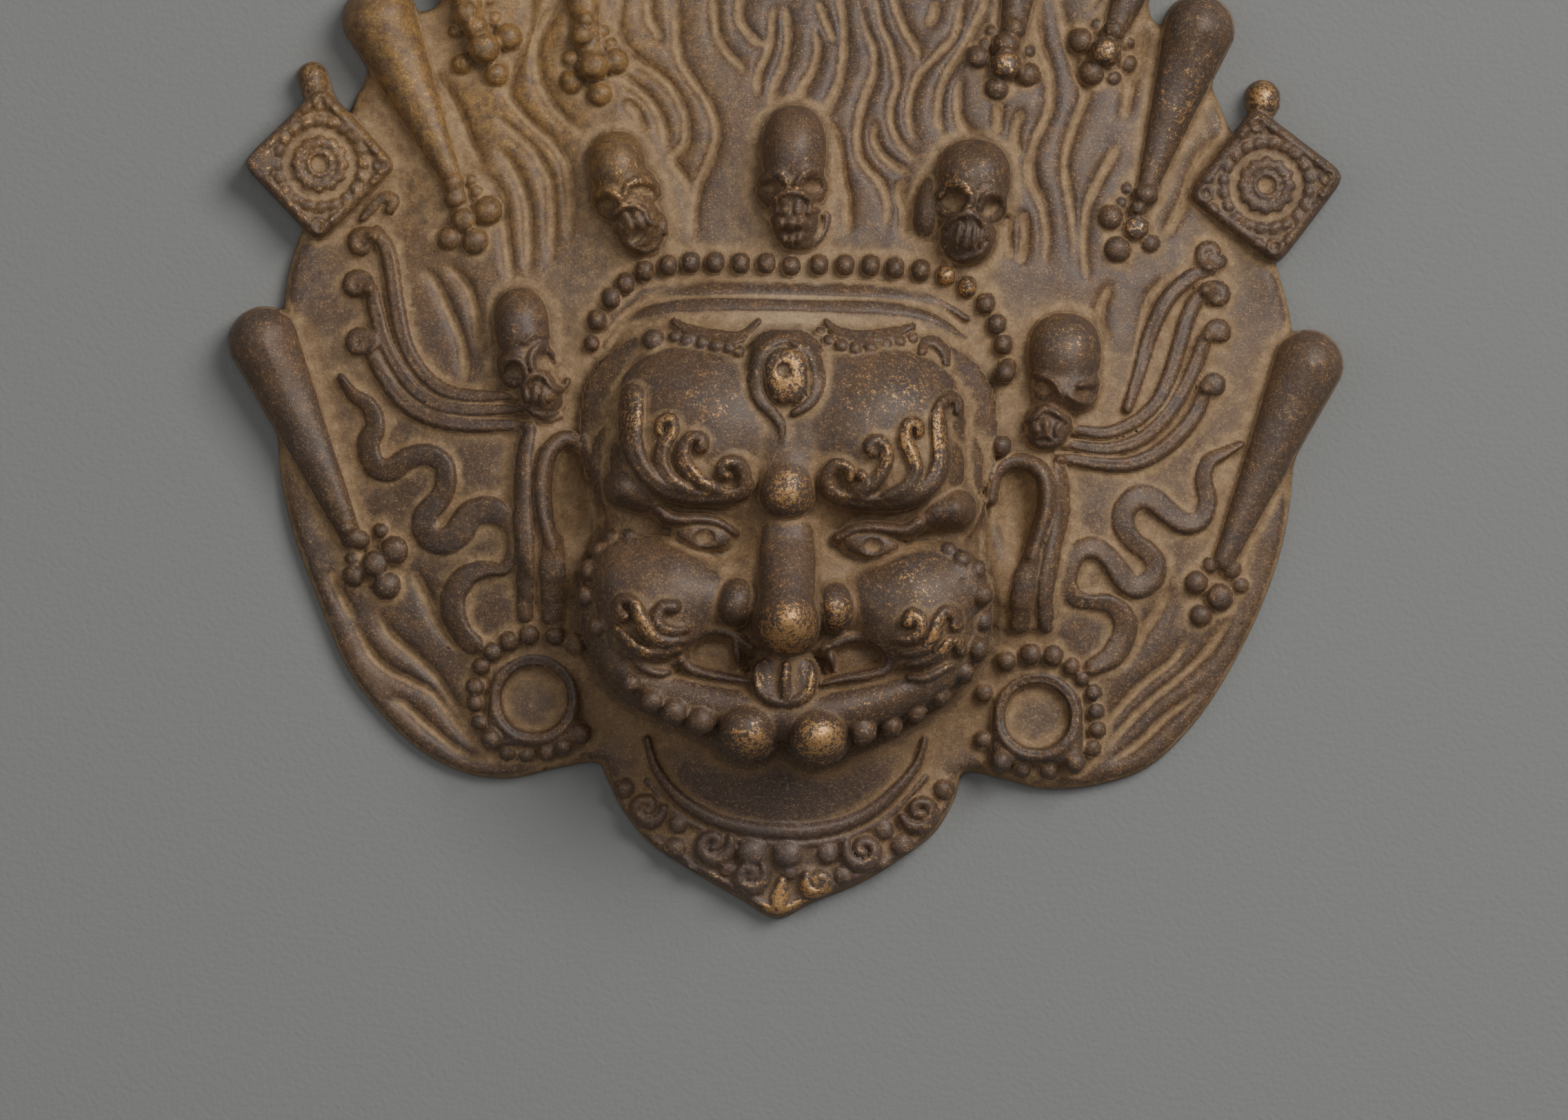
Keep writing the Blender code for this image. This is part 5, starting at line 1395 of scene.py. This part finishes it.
def aged_bronze():
    """Cast bronze under an oxide and wax skin: brown coat, dust by hollows, metal by rises."""
    material, tree, shader = new_material("aged cast bronze")
    place = node(tree, "ShaderNodeTexCoord").outputs["Object"]

    def noise(size, detail=4.0, rough=0.6):
        """A pattern of spots of a size in millimetres, from 0 to 1."""
        inputs = {"Vector": place, "Scale": per_mm(size), "Detail": detail, "Roughness": rough}
        return node(tree, "ShaderNodeTexNoise", inputs).outputs["Fac"]

    def attribute(name):
        """A number that the mesh keeps at its corners."""
        return node(tree, "ShaderNodeAttribute", attribute_name=name).outputs["Fac"]

    def ramp(value, low, high, out_low=0.0, out_high=1.0):
        """A straight line from out_low at low to out_high at high, held at both ends."""
        inputs = {"Value": value, "From Min": low, "From Max": high}
        inputs.update({"To Min": out_low, "To Max": out_high})
        return node(tree, "ShaderNodeMapRange", inputs).outputs["Result"]

    def maths(how, a, b):
        """a and b joined by one operation."""
        return node(tree, "ShaderNodeMath", {0: a, 1: b}, operation=how).outputs["Value"]

    def mixed(share, a, b):
        """a + share * (b - a), for colours."""
        made = node(tree, "ShaderNodeMix", {"Factor": share}, data_type="RGBA")
        for socket, value in (("A", a), ("B", b)):
            into = next(s for s in made.inputs if s.name == socket and s.type == "RGBA")
            if isinstance(value, bpy.types.NodeSocket):
                tree.links.new(value, into)
            else:
                into.default_value = linear(value)
        return next(s for s in made.outputs if s.type == "RGBA")

    def spot(x, y, reach):
        """1 at a place of the mask and 0 past its reach, in millimetres from the nose bridge."""
        where = ((x - middle[0]) * MM, (y - middle[1]) * MM, 0.02)
        out = node(tree, "ShaderNodeVectorMath", {0: place, 1: where}, operation="DISTANCE")
        return ramp(out.outputs["Value"], reach * MM, 0.3 * reach * MM)

    fine, wide, worn = attribute("fine_rise"), attribute("wide_rise"), attribute("rubbed")
    broad_rise = attribute("broad_rise")
    broad, blotch, patch = noise(30.0, 3.0), noise(7.0), noise(2.6, 5.0, 0.65)
    speck, pore = noise(0.9, 5.0, 0.75), noise(0.4, 2.0)

    coat = mixed(ramp(broad, 0.4, 0.6), "#53402f", "#614a37")
    coat = mixed(ramp(blotch, 0.42, 0.62, 0.0, 0.8), coat, "#4e413a")
    coat = mixed(ramp(patch, 0.5, 0.7, 0.0, 0.65), coat, "#745439")
    # Tints by place: where, the pattern that breaks it up with its limits, and the colour
    for where, pattern, limits, tint in (
        (spot(-66, 108, 62), patch, (0.35, 0.62, 0.2, 0.95), "#8f6c3c"),
        (maths("ADD", spot(-22, 34, 16), spot(17, 36, 16)), patch, (0.35, 0.6, 0.2, 0.9), "#875f3c"),
        (spot(0, -48, 44), blotch, (0.3, 0.6, 0.1, 0.7), "#60432c"),
        (spot(0, -66, 40), blotch, (0.3, 0.6, 0.4, 0.95), "#5d5049"),
        (spot(-33, -43, 10), patch, (0.4, 0.55), "#8a5a24"),
        (spot(0, -25, 38), broad, (0.3, 0.6, 0.45, 0.75), "#3e332d"),
    ):
        coat = mixed(maths("MULTIPLY", where, ramp(pattern, *limits)), coat, tint)
    eyes = maths("ADD", spot(-17.2, 4.5, 9), spot(18.6, 3.5, 9))
    coat = mixed(maths("MULTIPLY", eyes, 0.7), coat, "#3a302b")
    coat = mixed(ramp(speck, 0.47, 0.3, 0.0, 0.62), coat, "#33281f")
    coat = mixed(ramp(speck, 0.55, 0.7, 0.0, 0.52), coat, "#9c7f5a")

    hollow = maths("ADD", ramp(wide, 0.5, -2.2, 0.0, 0.75), ramp(broad_rise, 1.5, -4.5, 0.0, 0.6))
    hollow = maths("ADD", hollow, ramp(fine, 0.25, -0.45, -0.5, 0.55))
    hollow = maths("SUBTRACT", hollow, maths("MULTIPLY", spot(0, -62, 38), 0.7))
    hollow = maths("SUBTRACT", hollow, maths("MULTIPLY", eyes, 0.4))
    hollow = maths("SUBTRACT", hollow, ramp(blotch, 0.62, 0.35, 0.0, 0.35))
    dust_mask = maths("MULTIPLY", ramp(hollow, 0.12, 0.85, 0.0, 0.9), ramp(speck, 0.25, 0.6, 0.45, 1.0))
    dust = mixed(ramp(patch, 0.38, 0.66), "#876c4c", "#a48762")
    dust = mixed(maths("MULTIPLY", spot(0, -30, 70), ramp(broad, 0.3, 0.6, 0.5, 0.95)), dust, "#73583a")
    dust = mixed(maths("ADD", spot(14, 0, 17), spot(2, 50, 20)), dust, "#ab9170")
    colour = mixed(dust_mask, coat, dust)
    # Painted shade with dirt: the deepest narrow crevices are darkened, partly for grime and partly for
    # the shade that falls in them
    colour = mixed(ramp(fine, -0.6, -1.4, 0.0, 0.4), colour, "#44352a")
    grit = maths("MULTIPLY", ramp(pore, 0.57, 0.7), ramp(patch, 0.35, 0.65, 0.1, 0.6))
    colour = mixed(grit, colour, "#b39a76")
    colour = mixed(ramp(pore, 0.42, 0.28, 0.0, 0.4), colour, "#3a2c21")

    cells = node(tree, "ShaderNodeTexVoronoi", {"Vector": place, "Scale": per_mm(1.7)})
    pits = maths("MULTIPLY", ramp(cells.outputs["Distance"], 0.2, 0.1), ramp(patch, 0.5, 0.56))
    pits = maths("MULTIPLY", pits, maths("ADD", spot(13, 1, 15), spot(0, 9, 9)))
    colour = mixed(pits, colour, "#1f1710")

    rubbed = maths("SUBTRACT", worn, ramp(speck, 0.62, 0.4))
    rubbed = ramp(maths("SUBTRACT", rubbed, ramp(patch, 0.58, 0.4, 0.0, 0.35)), 0.0, 0.2)
    colour = mixed(rubbed, colour, mixed(ramp(pore, 0.4, 0.6), "#a97b47", "#cda677"))
    tree.links.new(colour, shader.inputs["Base Color"])

    tree.links.new(ramp(rubbed, 0.0, 1.0, 0.05, 0.7), shader.inputs["Metallic"])
    dull = maths("ADD", ramp(speck, 0.3, 0.7, 0.4, 0.56), maths("MULTIPLY", dust_mask, 0.3))
    tree.links.new(dull, shader.inputs["Roughness"])
    shader.inputs["Specular IOR Level"].default_value = 0.4

    skin_height = maths("ADD", maths("MULTIPLY", speck, 0.7), maths("MULTIPLY", pore, 0.3))
    skin_height = maths("SUBTRACT", skin_height, maths("MULTIPLY", pits, 1.2))
    bump = node(tree, "ShaderNodeBump", {"Strength": 0.65, "Distance": 0.25 * MM, "Height": skin_height})
    tree.links.new(bump.outputs["Normal"], shader.inputs["Normal"])
    return material


casting.materials.clear()
casting.materials.append(aged_bronze())
print("patina nodes", len(casting.materials[0].node_tree.nodes))
